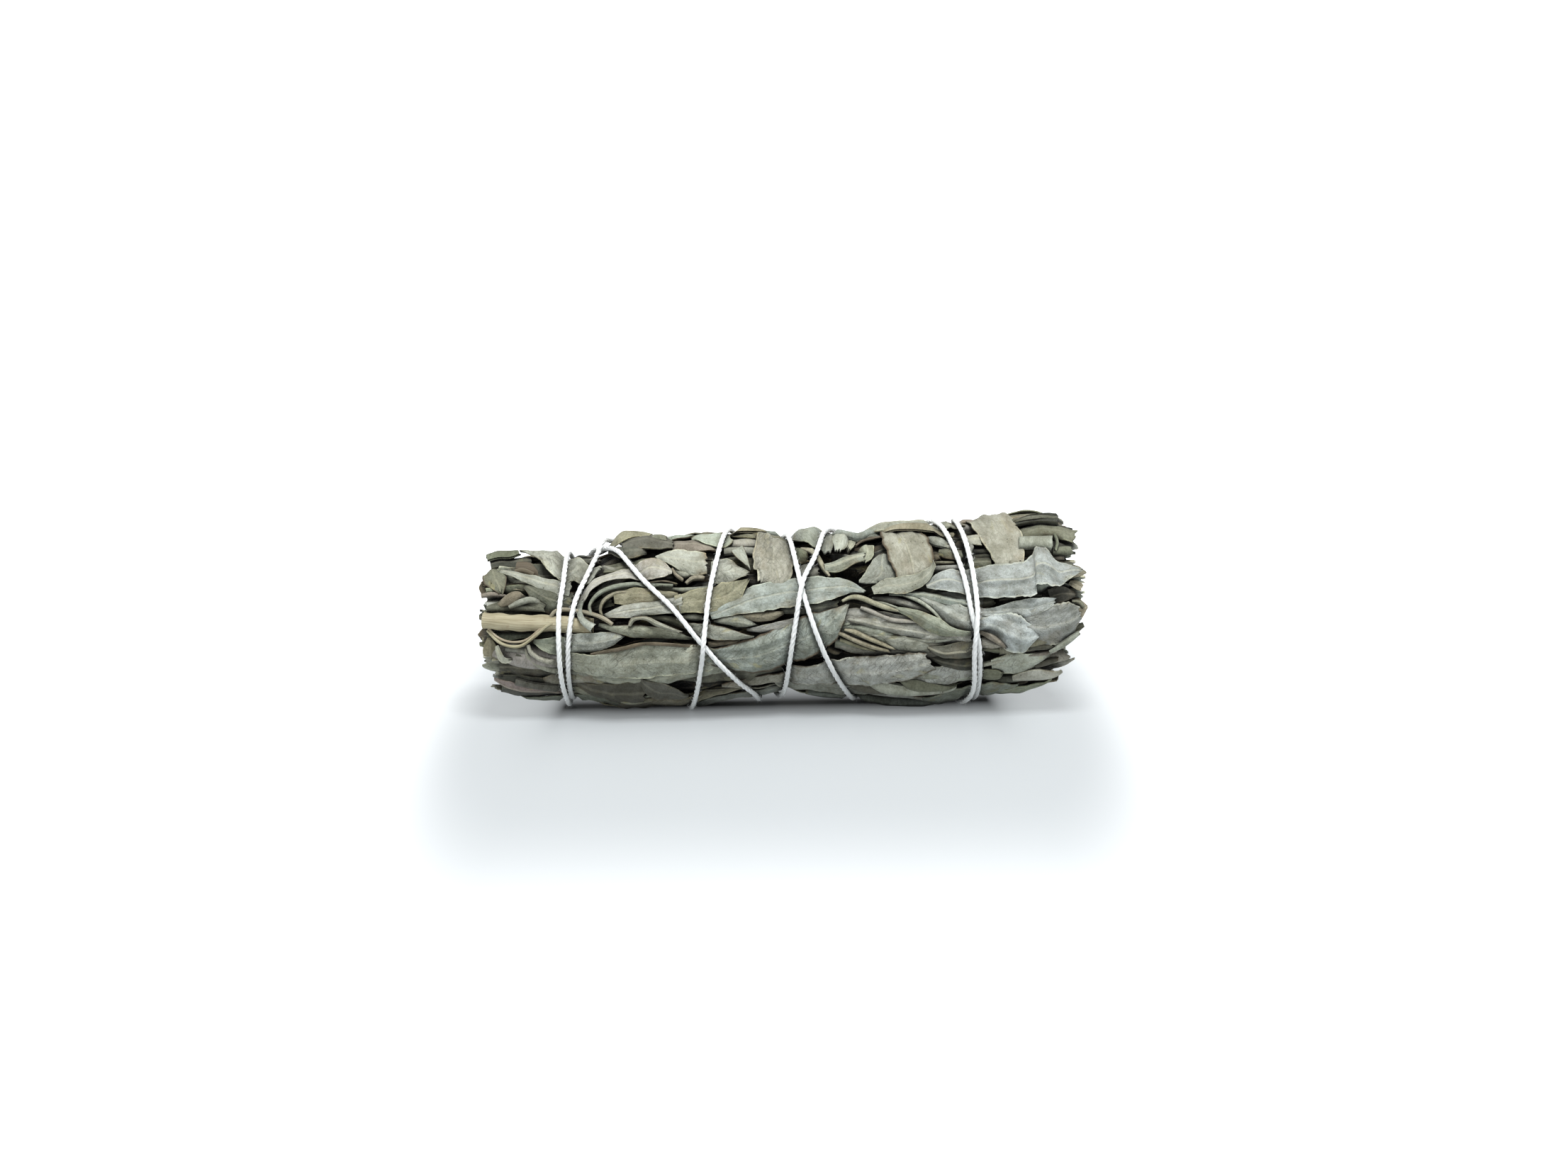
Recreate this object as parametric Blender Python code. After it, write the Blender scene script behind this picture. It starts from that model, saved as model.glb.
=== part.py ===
# Sage smudge stick: five dried leafy stems pressed into one bundle and wound with cotton string.
# The bundle lies along X with its front towards -Y, and the origin is on the surface below its middle.

import math
import random

import bmesh
import bpy
from mathutils import Vector

# Driving dimensions, in millimetres
BUNDLE_LENGTH = 105.0
STRING_DIAMETER = 1.0
STEM_GAP = 0.4
STRING_GAP = 0.35
BLADE_THICKNESS = 0.9
LAYER_DEPTH = 2.4
LAYER_HEIGHT = 0.5
RIBBED_HALF_WIDTH = 1.1
CORE_DEPTH = 3.0
CORE_START = -46.0
CORE_END = 44.5
CORE_STEPS = 10
CORE_SIDES = 20
CORE_ROUGHNESS = (0.95, 1.02)
BLADE_EDGE_DROP = 0.3
RIB_RISE = 0.2
STALK_SIDES = 8
FLAT_ANGLE = math.radians(2.0)
MERGE_DISTANCE = 0.000001

# The outlines below were read from the front, looking down a little, on a bundle of this length
READ_LENGTH = 105.0
VIEW_TILT = math.radians(10.0)
VIEW_DISTANCE = 340.0
VIEW_CENTRE = (0.3, 20.0)
VIEW_REACH = 0.985
MM = 0.001 * BUNDLE_LENGTH / READ_LENGTH

# Bulges and waists of the bundle: place along it, height of its axis, radius
PROFILE = (
    (-52.5, 14.7, 11.5), (-49.3, 14.65, 12.0), (-44.4, 14.25, 12.8), (-37.1, 14.25, 12.6),
    (-33.4, 14.2, 12.6), (-27.3, 14.9, 15.1), (-21.2, 14.75, 14.7), (-14.5, 14.95, 15.2),
    (-9.0, 15.55, 14.8), (-3.5, 15.65, 14.4), (0.8, 15.65, 13.6), (5.7, 16.05, 14.4),
    (10.6, 15.5, 14.3), (13.0, 15.05, 14.2), (17.9, 15.35, 15.5), (24.0, 15.35, 15.8),
    (30.1, 15.85, 15.7), (33.2, 16.15, 15.3), (36.2, 16.85, 15.5), (41.1, 17.35, 15.7),
    (46.0, 17.95, 15.3), (52.5, 18.2, 14.6),
)

# Where one leafy stem meets the next on the front, as seen from there
TOP_EDGE = (
    (-53.0, 19.4), (-49.3, 19.6), (-43.8, 21.7), (-37.1, 21.4), (-29.8, 22.1), (-17.5, 21.3),
    (-11.4, 21.1), (-5.1, 22.3), (2.0, 21.4), (8.1, 22.0), (14.5, 18.7), (21.6, 18.4),
    (25.5, 20.7), (30.0, 23.0), (36.2, 23.3), (41.7, 23.7), (53.0, 23.9),
)
LOW_EDGE = (
    (-53.0, 4.6), (-40.0, 4.0), (-30.0, 4.4), (-14.0, 3.2), (0.0, 3.0), (15.0, 3.0),
    (22.0, 3.6), (32.0, 4.2), (40.0, 4.0), (53.0, 5.5),
)

# Leaves seen from the front: layer, then along, up and half width down the middle of each leaf
TOP_LEAVES = (
    (2, (-51.0, 25.9, 0.4), (-49.0, 26.2, 0.6), (-47.0, 26.0, 0.5), (-44.0, 26.6, 0.4)),
    (4, (-45.2, 26.9, 0.4), (-42.5, 26.2, 1.0), (-40.0, 25.1, 2.0), (-37.5, 24.2, 2.2), (-31.5, 23.6, 1.4)),
    (1, (-49.0, 24.5, 0.4), (-46.0, 23.3, 0.5), (-43.0, 22.3, 0.7), (-38.3, 21.5, 0.6)),
    (2, (-51.7, 23.6, 1.0), (-50.0, 22.9, 1.6), (-48.5, 22.2, 1.7), (-44.0, 22.3, 0.9)),
    (1, (-36.0, 26.3, 0.4), (-33.0, 26.6, 0.5), (-31.5, 26.2, 0.4)),
    (4, (-19.2, 23.3, 0.4), (-22.0, 23.7, 1.6), (-25.0, 23.4, 1.3), (-28.0, 22.8, 0.7), (-33.0, 21.4, 0.6)),
    (3, (-30.0, 28.1, 0.4), (-28.5, 28.7, 0.6), (-25.6, 29.8, 0.9), (-22.3, 29.0, 0.4)),
    (2, (-30.0, 27.7, 0.4), (-27.5, 27.1, 0.9), (-25.0, 27.0, 0.8), (-23.3, 27.5, 0.4)),
    (2, (-20.5, 28.0, 0.4), (-18.0, 28.5, 1.1), (-15.0, 28.3, 1.0), (-10.8, 27.7, 0.4)),
    (3, (-15.5, 29.7, 0.4), (-13.0, 29.2, 0.8), (-8.5, 29.3, 0.8)),
    (2, (-10.0, 27.7, 0.5), (-7.0, 27.7, 0.5), (-4.3, 27.6, 0.5)),
    (1, (-9.0, 29.5, 0.5), (-5.0, 29.9, 0.7), (-2.5, 29.5, 0.4)),
    (3, (-21.8, 26.5, 0.4), (-19.5, 26.2, 0.8), (-16.0, 25.7, 1.5), (-12.8, 25.0, 1.9)),
    (2, (-18.9, 24.1, 0.4), (-16.5, 23.5, 0.7), (-13.6, 23.2, 0.4)),
    (2, (-11.6, 24.3, 1.9), (-9.0, 24.4, 1.7), (-7.3, 23.9, 0.9), (-5.8, 23.3, 0.4)),
    (4, (-7.7, 26.9, 1.2), (-6.9, 25.5, 0.9), (-5.5, 23.5, 0.4)),
    (3, (-1.2, 29.2, 2.4), (-1.5, 25.5, 3.2), (-1.9, 22.3, 2.7), (-3.2, 20.7, 1.2)),
    (2, (1.5, 29.2, 0.5), (4.9, 28.7, 1.4), (8.0, 29.0, 0.9)),
    (2, (2.8, 23.2, 0.8), (4.5, 23.6, 1.3), (6.5, 23.7, 0.7)),
    (3, (7.9, 28.6, 0.9), (7.9, 25.9, 0.6), (8.3, 23.0, 0.4)),
    (2, (10.3, 29.2, 1.1), (10.1, 28.0, 1.2), (9.6, 26.6, 0.6)),
    (3, (7.4, 23.6, 0.5), (9.5, 23.9, 0.9), (12.0, 25.0, 0.7), (14.5, 25.5, 0.5)),
    (3, (14.6, 27.5, 1.2), (14.9, 26.0, 0.8), (14.0, 25.0, 0.5)),
    (3, (13.6, 29.2, 0.4), (15.0, 29.6, 0.6), (17.0, 30.0, 0.6)),
    (2, (17.5, 29.9, 0.4), (20.5, 30.2, 0.6), (25.0, 30.2, 0.6), (30.0, 29.0, 0.4)),
    (2, (17.3, 26.0, 0.7), (17.0, 24.3, 1.6), (17.2, 22.5, 2.5), (15.5, 20.8, 1.5)),
    (3, (20.7, 29.3, 3.6), (21.9, 27.0, 3.7), (22.8, 24.5, 3.5), (23.3, 22.3, 3.1)),
    (4, (16.8, 20.1, 0.9), (19.5, 20.4, 1.3), (22.5, 20.9, 1.4), (26.1, 23.8, 0.5)),
    (2, (24.6, 28.7, 0.5), (28.5, 27.7, 0.8), (31.0, 27.0, 0.5)),
    (1, (26.0, 25.8, 0.6), (28.7, 26.0, 0.8), (31.0, 25.6, 0.7)),
    (1, (26.2, 23.8, 0.6), (29.0, 23.9, 0.8), (33.0, 24.0, 0.6)),
    (2, (31.9, 28.2, 0.7), (34.6, 28.2, 0.7)),
    (1, (32.0, 24.4, 0.7), (35.5, 24.4, 0.8), (38.0, 24.8, 0.6)),
    (4, (35.8, 32.0, 2.6), (38.0, 28.9, 2.8), (39.2, 25.8, 2.5), (39.4, 23.7, 2.2)),
    (1, (39.2, 31.9, 0.5), (44.0, 32.8, 0.6), (47.8, 32.6, 0.7)),
    (3, (40.8, 29.9, 0.5), (43.5, 30.1, 0.8), (46.5, 29.5, 0.9), (50.8, 28.9, 1.1)),
    (3, (40.5, 27.3, 0.8), (44.5, 27.3, 1.0), (48.2, 27.1, 1.3)),
    (1, (43.0, 25.2, 0.8), (47.8, 26.0, 0.8), (50.5, 25.2, 0.7)),
)
FRONT_LEAVES = (
    (2, (-44.8, 21.9, 0.4), (-43.0, 20.6, 0.8), (-41.0, 19.5, 1.5), (-37.5, 18.5, 1.2)),
    (3, (-51.0, 17.9, 0.4), (-48.5, 18.2, 0.7), (-46.0, 18.5, 1.4), (-41.5, 17.7, 0.5)),
    (3, (-51.3, 13.4, 0.4), (-49.0, 11.5, 0.4), (-45.0, 11.4, 0.4), (-41.5, 13.6, 0.4)),
    (2, (-44.0, 11.2, 0.4), (-41.5, 11.0, 1.0), (-38.0, 10.4, 1.6)),
    (2, (-44.3, 10.4, 0.5), (-42.5, 7.6, 0.7), (-38.0, 6.2, 0.7)),
    (1, (-51.2, 12.0, 0.4), (-50.8, 9.5, 0.8), (-44.0, 7.6, 0.5)),
    (1, (-49.3, 6.2, 1.4), (-45.0, 6.3, 1.6), (-38.0, 5.2, 1.0)),
    (1, (-34.3, 17.1, 0.4), (-32.0, 18.0, 0.6), (-27.5, 19.0, 0.8)),
    (2, (-31.3, 20.3, 0.4), (-26.0, 21.0, 0.6), (-21.0, 20.9, 0.5), (-18.0, 20.4, 0.4)),
    (3, (-29.2, 19.0, 0.8), (-26.0, 19.2, 1.2), (-22.5, 19.3, 1.0), (-17.8, 19.4, 0.4)),
    (3, (-31.2, 15.8, 0.4), (-27.0, 16.5, 1.1), (-17.0, 17.9, 1.7), (-10.5, 18.8, 2.0), (-5.6, 22.0, 0.4)),
    (4, (-34.8, 18.5, 0.5), (-35.0, 16.2, 0.5), (-32.6, 13.5, 0.9)),
    (3, (-26.5, 14.2, 0.4), (-25.0, 15.2, 0.5), (-22.0, 14.3, 0.5), (-17.5, 12.6, 0.4)),
    (2, (-32.0, 14.2, 0.4), (-26.0, 12.9, 1.0), (-21.0, 12.3, 0.9), (-15.5, 11.1, 0.4)),
    (2, (-37.5, 10.9, 1.4), (-34.0, 11.0, 1.4), (-31.0, 11.3, 1.2), (-27.5, 12.2, 0.4)),
    (4, (-38.5, 7.8, 1.2), (-33.0, 7.3, 2.1), (-26.0, 7.6, 2.9), (-19.0, 7.9, 2.9), (-12.0, 7.7, 1.8)),
    (1, (-38.0, 5.5, 0.5), (-35.0, 4.9, 0.6), (-30.0, 4.4, 0.5)),
    (3, (-14.0, 8.5, 0.8), (-8.0, 8.0, 2.3), (0.0, 9.9, 3.0), (6.0, 12.4, 2.9), (11.4, 17.2, 0.4)),
    (2, (-12.0, 14.4, 0.4), (-8.5, 14.4, 0.9), (-4.2, 13.4, 0.4)),
    (2, (-7.5, 15.4, 0.4), (-3.5, 15.3, 0.9), (0.6, 15.9, 0.4)),
    (3, (-17.3, 14.1, 0.4), (-14.0, 12.9, 1.1), (-9.0, 12.1, 0.9), (-5.0, 11.4, 0.4)),
    (2, (-6.3, 12.6, 0.4), (0.0, 13.4, 0.7), (4.8, 14.6, 0.4)),
    (1, (-1.0, 16.0, 0.4), (4.0, 16.3, 0.8), (9.8, 17.0, 0.7)),
    (3, (-12.5, 15.4, 0.6), (-6.0, 17.8, 2.0), (2.0, 19.3, 2.4), (9.0, 20.0, 1.9), (14.4, 19.3, 0.4)),
    (2, (10.3, 17.6, 0.4), (13.5, 18.2, 0.5), (18.0, 16.3, 0.5), (23.8, 13.6, 0.4)),
    (2, (11.2, 14.4, 0.4), (17.0, 13.1, 0.7), (23.0, 12.0, 1.1), (28.0, 10.9, 0.4)),
    (1, (20.0, 11.2, 0.4), (26.0, 10.0, 0.5), (31.5, 10.7, 0.4)),
    (3, (10.6, 12.5, 0.4), (14.5, 11.0, 0.5), (19.8, 8.6, 0.4)),
    (2, (14.0, 11.3, 0.4), (20.0, 9.8, 1.2), (25.5, 8.6, 0.6)),
    (1, (8.5, 10.2, 0.5), (12.0, 9.6, 0.6), (16.0, 8.5, 0.4)),
    (1, (15.5, 18.1, 0.4), (21.5, 17.1, 0.6), (26.0, 15.3, 0.4)),
    (3, (19.5, 16.1, 0.4), (24.5, 14.0, 1.2), (28.0, 12.2, 1.0), (32.5, 11.4, 0.4)),
    (2, (22.0, 18.3, 0.4), (25.0, 16.5, 0.5), (28.4, 12.9, 0.4)),
    (1, (24.0, 18.8, 0.4), (31.0, 17.9, 0.9), (36.0, 17.3, 0.9)),
    (2, (24.5, 18.1, 0.5), (28.5, 15.7, 1.6), (31.0, 14.1, 1.9), (34.0, 13.2, 1.5)),
    (4, (24.5, 20.4, 0.8), (30.0, 20.9, 2.1), (37.0, 20.4, 3.0), (44.0, 21.6, 2.1), (52.0, 22.2, 0.5)),
    (1, (34.0, 17.2, 0.5), (44.0, 17.6, 0.5)),
    (3, (34.3, 15.3, 0.4), (38.0, 15.7, 0.6), (43.0, 16.1, 1.2), (48.5, 17.0, 0.5)),
    (4, (34.0, 13.3, 0.9), (37.0, 12.6, 1.9), (39.8, 11.5, 3.0), (44.2, 10.9, 0.6)),
    (3, (34.0, 11.3, 0.5), (36.5, 10.4, 0.5), (38.8, 8.3, 0.4)),
    (2, (40.5, 13.9, 0.8), (44.5, 13.2, 2.6), (48.5, 13.0, 3.1), (51.9, 13.7, 0.8)),
    (1, (44.0, 18.8, 0.5), (48.5, 18.6, 0.9), (51.8, 18.4, 0.5)),
    (2, (34.5, 8.1, 0.4), (38.5, 7.8, 0.7), (44.5, 8.5, 0.6)),
    (2, (37.0, 5.2, 0.4), (40.0, 5.4, 1.2), (43.5, 6.0, 1.0), (48.0, 7.6, 0.4)),
    (3, (25.0, 9.0, 0.4), (28.0, 8.4, 0.9), (33.5, 8.5, 1.2)),
    (2, (25.2, 6.7, 0.4), (29.5, 6.0, 0.8), (34.0, 5.6, 0.9)),
    (4, (1.2, 5.3, 1.0), (7.0, 5.5, 1.7), (15.0, 5.9, 2.1), (22.0, 6.2, 1.8), (26.0, 5.4, 0.5)),
)
LOW_LEAVES = (
    (2, (-25.0, 3.0, 0.5), (-17.0, 3.0, 1.0), (-8.0, 2.6, 0.8), (0.0, 2.6, 0.6)),
    (3, (-36.0, 3.2, 0.4), (-33.0, 2.6, 0.7), (-27.0, 2.0, 1.2), (-23.0, 1.8, 0.8)),
    (3, (-49.0, 3.5, 1.0), (-45.0, 3.3, 0.9), (-38.0, 2.7, 0.5)),
    (2, (12.0, 2.4, 0.6), (19.0, 1.7, 0.8), (26.0, 1.5, 0.5)),
    (3, (22.0, 2.8, 0.4), (27.0, 3.0, 0.7), (33.0, 3.0, 0.5)),
    (3, (37.0, 3.2, 0.4), (42.5, 3.5, 0.6), (48.3, 3.9, 0.4)),
)

# Round stems and stalks that show: radius, then along, up and how far below the bundle's outside
TOP_STALKS = ((1.4, (-47.5, 24.8, 3.6), (-38.0, 24.2, 3.8)),)
FRONT_STALKS = (
    (1.35, (-51.9, 15.4, 1.5), (-46.0, 14.7, 1.2), (-40.0, 14.6, 1.4), (-33.0, 13.9, 2.0)),
    (0.45, (-40.2, 15.9, 1.4), (-38.3, 17.1, 0.9), (-34.5, 16.6, 0.8), (-29.5, 14.2, 1.6)),
    (0.5, (42.0, 7.2, 2.8), (48.0, 8.9, 2.6), (51.3, 11.2, 2.6)),
)

# Leaves placed by rule: rows round the bundle and columns along it
RULED_ROWS = 20
RULED_COLUMNS = 5
RULED_START = -42.0
RULED_PITCH = 20.5
RULED_STAGGER = 6.8
RULED_SHIFT = 2.5
RULED_TURN = 360.0 / RULED_ROWS
RULED_LEAN = 4.0
RULED_LENGTHS = (18.0, 28.0)
RULED_HALF_WIDTHS = (1.9, 3.1)
RULED_SLOPE = 0.22
RULED_BEND = 1.5
RULED_SHAPE = ((0.0, 0.3), (0.25, 0.9), (0.6, 1.0), (1.0, 0.2))
SMALLEST_HALF_WIDTH = 0.4
SHORTEST_LEAF = 7.0
END_REACH = 52.3
SHOWN_ANGLES = (-45.0, 92.0)

# Leaves and the stem inside each end: share of the radius and place in the sector
INNER_LEAVES = ((0.42, 0.5), (0.68, 0.25), (0.68, 0.75))
INNER_SHAPE = ((0.0, 1.0), (0.7, 0.9), (1.0, 0.4))
INNER_PLACE = 46.0
INNER_ROOT = 41.0
INNER_TIPS = (48.5, 52.0)
INNER_HALF_WIDTHS = (1.6, 2.6)
INNER_SHIFT = 0.06
INNER_RISE = 0.8
STEM_RADIUS = 1.3
STEM_CUT = -48.0
STEM_PATH = ((-30.0, 0.0, 5.5), (-46.0, 0.0, 5.8), (-50.5, 0.05, 5.6))

# Leaves pressed flat below the two bulges
FOOT_PLACES = (-20.0, 23.0)
FOOT_ANGLES = (-84.0, -104.0)
FOOT_LENGTH = 17.0
FOOT_HALF_WIDTH = 3.4
FOOT_LAYER = 6.5

# The sector that a leafy stem is kept to
WEDGE_REACH = 20.0
WEDGE_STEPS = 16
WEDGE_SIDES = 8

# The string's passes down the front, in the order wound, as seen from there
STRING_PASSES = (
    ((-30.5, 27.7), (-25.0, 23.0), (-19.0, 16.8), (-14.0, 10.3), (-8.0, 4.0), (-5.0, 1.6)),
    ((0.7, 29.6), (2.3, 25.0), (3.4, 20.0), (4.8, 15.0), (6.5, 10.0), (10.9, 1.7)),
    ((26.6, 31.0), (29.5, 27.0), (31.6, 21.0), (32.7, 15.0), (33.9, 9.0), (33.6, 2.2)),
    ((30.0, 31.3), (31.9, 27.0), (33.1, 21.0), (33.6, 15.0), (33.0, 9.0), (32.4, 1.8)),
    ((8.4, 30.2), (6.0, 26.0), (3.5, 20.5), (2.2, 14.0), (1.0, 7.0), (-0.3, 1.7)),
    ((-9.3, 30.1), (-11.0, 26.0), (-12.7, 19.0), (-13.5, 13.0), (-14.3, 6.5), (-15.5, 0.8)),
    ((-30.9, 27.6), (-33.0, 24.2), (-35.8, 18.5), (-37.0, 13.0), (-37.3, 7.0), (-36.9, 2.1)),
    ((-36.7, 27.0), (-37.8, 22.0), (-38.6, 17.0), (-38.8, 12.0), (-38.5, 6.0), (-37.5, 2.0)),
)
STRING_SIDES = 5
STRING_STEP = 4.6
STRING_RISE = 0.2
STRING_CROSSING = 1.5
CROSSING_REACH = 3.2
CROSSING_SHARES = (0.7, 0.3)
SURFACE_GAP = 0.05
KNOT_MARGIN = 0.12
KNOT_PLACE = -38.6
KNOT_ANGLE = 165.0
KNOT_RISE = 0.35
KNOT_LOOP = (
    (-1.0, 0.0, 0.1), (0.2, 0.5, 0.5), (0.9, 0.9, 0.2), (1.3, 0.2, -0.1),
    (0.8, -0.6, 0.3), (-0.6, -0.9, 0.8), (-2.2, -1.8, 0.5), (-4.6, -3.0, 0.2),
)
TURN_ANGLES = (-95.0, -130.0, -165.0, -200.0, -235.0)
TURN_START = -70.0
TURN_RANGE = 200.0
TURN_MARGIN = 5.0
GROOVE_POINTS = 14
GROOVE_OVERLAP = 2
GROOVE_WIDENING = 0.05

# Leaf colours
SAGE = (0.42, 0.45, 0.36, 1.0)
SAGE_DARK = (0.27, 0.28, 0.21, 1.0)
COTTON = (0.86, 0.86, 0.82, 1.0)


def profile(along):
    """Height of the bundle's axis and its radius at a place along it."""
    along = min(max(along, PROFILE[0][0]), PROFILE[-1][0])
    for before, after in zip(PROFILE, PROFILE[1:]):
        if along <= after[0]:
            share = (along - before[0]) / (after[0] - before[0])
            axis = before[1] + share * (after[1] - before[1])
            radius = before[2] + share * (after[2] - before[2])
            return axis, radius
    return PROFILE[-1][1:]


def on_bundle(across, up):
    """Place along the bundle and angle round it of a point seen from the front."""
    along = across
    height = up
    angle = 0.0
    for _ in range(4):
        axis, radius = profile(along)
        reach = (height - axis * math.cos(VIEW_TILT)) / radius
        reach = min(max(reach, -VIEW_REACH), VIEW_REACH)
        angle = VIEW_TILT + math.asin(reach)
        nearness = 1.0 - radius * math.cos(angle - VIEW_TILT) / VIEW_DISTANCE
        along = VIEW_CENTRE[0] + (across - VIEW_CENTRE[0]) * nearness
        height = VIEW_CENTRE[1] + (up - VIEW_CENTRE[1]) * nearness
    return along, angle


def point(along, angle, radius):
    """A point in metres at a radius from the bundle's axis; angle 0 is the front, 90 degrees the top."""
    axis = profile(along)[0]
    return Vector((along, -radius * math.cos(angle), axis + radius * math.sin(angle))) * MM


def edge_angle(edge, along):
    """Angle of a front edge between two leafy stems at a place along the bundle."""
    places = [on_bundle(across, up) for across, up in edge]
    along = min(max(along, places[0][0]), places[-1][0])
    for before, after in zip(places, places[1:]):
        if along <= after[0]:
            share = (along - before[0]) / (after[0] - before[0])
            return before[1] + share * (after[1] - before[1])
    return places[-1][1]


def wave(mean, size, length, phase):
    """A hidden edge between two leafy stems: an angle that wavers along the bundle."""
    return lambda along: math.radians(mean + size * math.sin(along / length + phase))


EDGES = {
    "low": lambda along: edge_angle(LOW_EDGE, along),
    "top": lambda along: edge_angle(TOP_EDGE, along),
    "ridge": wave(118.0, 6.0, 9.0, 0.5),
    "back": wave(196.0, 7.0, 11.0, 2.0),
    "under": wave(258.0, 5.0, 8.0, 4.0),
}


def add_object(name, vertices, faces):
    """A mesh object in the scene, with its faces turned outwards."""
    mesh = bpy.data.meshes.new(name)
    mesh.from_pydata([tuple(vertex) for vertex in vertices], [], faces)
    shape = bmesh.new()
    shape.from_mesh(mesh)
    bmesh.ops.recalc_face_normals(shape, faces=shape.faces)
    bmesh.ops.triangulate(shape, faces=shape.faces)
    shape.to_mesh(mesh)
    shape.free()
    thing = bpy.data.objects.new(name, mesh)
    bpy.context.scene.collection.objects.link(thing)
    return thing


def add_loft(name, rings, flip_first=False):
    """A closed solid through rings of as many points each; the first side can be split the other way."""
    count = len(rings[0])
    vertices = [corner for ring in rings for corner in ring]
    faces = []
    for ring in range(len(rings) - 1):
        for side in range(count):
            here = ring * count + side
            beside = ring * count + (side + 1) % count
            if flip_first and side == 0:
                faces.append((here, beside, here + count))
                faces.append((beside, beside + count, here + count))
            else:
                faces.append((here, beside, beside + count))
                faces.append((here, beside + count, here + count))
    faces.append(tuple(range(count)))
    faces.append(tuple(range((len(rings) - 1) * count, len(rings) * count)))
    return add_object(name, vertices, faces)


def apply_modifiers(thing):
    """Replace the mesh with the evaluated one and clear the modifiers."""
    bpy.context.view_layer.update()
    evaluated = thing.evaluated_get(bpy.context.evaluated_depsgraph_get())
    old = thing.data
    thing.data = bpy.data.meshes.new_from_object(evaluated)
    thing.modifiers.clear()
    bpy.data.meshes.remove(old)


def combine(thing, others, operation):
    """One Boolean of a solid with several others, which are then removed."""
    group = bpy.data.collections.new("operands")
    bpy.context.scene.collection.children.link(group)
    for other in others:
        bpy.context.scene.collection.objects.unlink(other)
        group.objects.link(other)
    boolean = thing.modifiers.new("Boolean", "BOOLEAN")
    boolean.operation = operation
    boolean.operand_type = "COLLECTION"
    boolean.collection = group
    boolean.solver = "EXACT"
    apply_modifiers(thing)
    for other in others:
        bpy.data.objects.remove(other)
    bpy.data.collections.remove(group)


def keep_one_body(thing):
    """Drop loose scraps and fill sealed hollows: only the largest closed surface stays."""
    shape = bmesh.new()
    shape.from_mesh(thing.data)
    bmesh.ops.remove_doubles(shape, verts=shape.verts, dist=MERGE_DISTANCE)
    bmesh.ops.dissolve_degenerate(shape, edges=shape.edges, dist=MERGE_DISTANCE)
    shape.verts.ensure_lookup_table()
    unseen = set(shape.verts)
    bodies = []
    while unseen:
        body = {unseen.pop()}
        front = list(body)
        while front:
            corner = front.pop()
            for edge in corner.link_edges:
                other = edge.other_vert(corner)
                if other in unseen:
                    unseen.discard(other)
                    body.add(other)
                    front.append(other)
        bodies.append(body)
    largest = max(bodies, key=len)
    scraps = [corner for body in bodies if body is not largest for corner in body]
    bmesh.ops.delete(shape, geom=scraps, context="VERTS")
    bmesh.ops.dissolve_limit(shape, angle_limit=FLAT_ANGLE, verts=shape.verts, edges=shape.edges)
    bmesh.ops.triangulate(shape, faces=shape.faces)
    shape.to_mesh(thing.data)
    shape.free()


def paint(thing, colour, roughness):
    """Give an object its own Principled material."""
    material = bpy.data.materials.new(thing.name)
    material.use_nodes = True
    shader = material.node_tree.nodes["Principled BSDF"]
    shader.inputs["Base Color"].default_value = colour
    shader.inputs["Roughness"].default_value = roughness
    material.diffuse_color = colour
    thing.data.materials.clear()
    thing.data.materials.append(material)


def add_blade(rows, layer, ribbed):
    """One leaf as a plate with its underside sunk: rows of a left, middle and right place on the bundle."""
    rings = []
    for left, middle, right in rows:
        radius = profile(middle[0])[1]
        top = radius - LAYER_DEPTH + LAYER_HEIGHT * layer
        inside = CORE_START + 1.0 < middle[0] < CORE_END - 1.0
        bottom = radius - CORE_DEPTH - 1.0 if inside else top - BLADE_THICKNESS
        ring = [
            point(left[0], left[1], top - BLADE_EDGE_DROP),
            point(right[0], right[1], top - BLADE_EDGE_DROP),
            point(right[0], right[1], bottom - BLADE_EDGE_DROP),
            point(left[0], left[1], bottom - BLADE_EDGE_DROP),
        ]
        if ribbed:
            ring.insert(1, point(middle[0], middle[1], top + RIB_RISE))
        rings.append(ring)
    return add_loft("leaf", rings)


def seen_rows(outline):
    """Rows of places on the bundle for a leaf that was read from the front."""
    rows = []
    for number, (across, up, half) in enumerate(outline):
        before = outline[max(number - 1, 0)]
        after = outline[min(number + 1, len(outline) - 1)]
        run = Vector((after[0] - before[0], after[1] - before[1])).normalized()
        left = on_bundle(across - run.y * half, up + run.x * half)
        right = on_bundle(across + run.y * half, up - run.x * half)
        rows.append((left, on_bundle(across, up), right))
    return rows


def add_seen_leaf(layer, outline):
    """A leaf that was read from the front; a wide one has a raised rib."""
    widest = max(half for _, _, half in outline)
    return add_blade(seen_rows(outline), layer, widest > RIBBED_HALF_WIDTH)


def ruled_rows(along, angle, length, half, slope, bend):
    """Rows of a leaf placed by rule: it runs along the bundle, leans by a slope and bends a little."""
    rows = []
    for share, width in RULED_SHAPE:
        place = along + (share - 0.5) * length
        radius = profile(place)[1]
        turn = angle + (slope * (share - 0.5) * length + bend * math.sin(math.pi * share)) / radius
        reach = max(half * width, SMALLEST_HALF_WIDTH) / radius
        rows.append(((place, turn + reach), (place, turn), (place, turn - reach)))
    return rows


def add_stalk(radius, places):
    """A round stem through places seen from the front, each with its depth below the outside."""
    middle = []
    for across, up, depth in places:
        along, angle = on_bundle(across, up)
        middle.append(point(along, angle, profile(along)[1] - depth))
    return add_loft("stalk", tube_rings(middle, radius * MM, STALK_SIDES))


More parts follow.
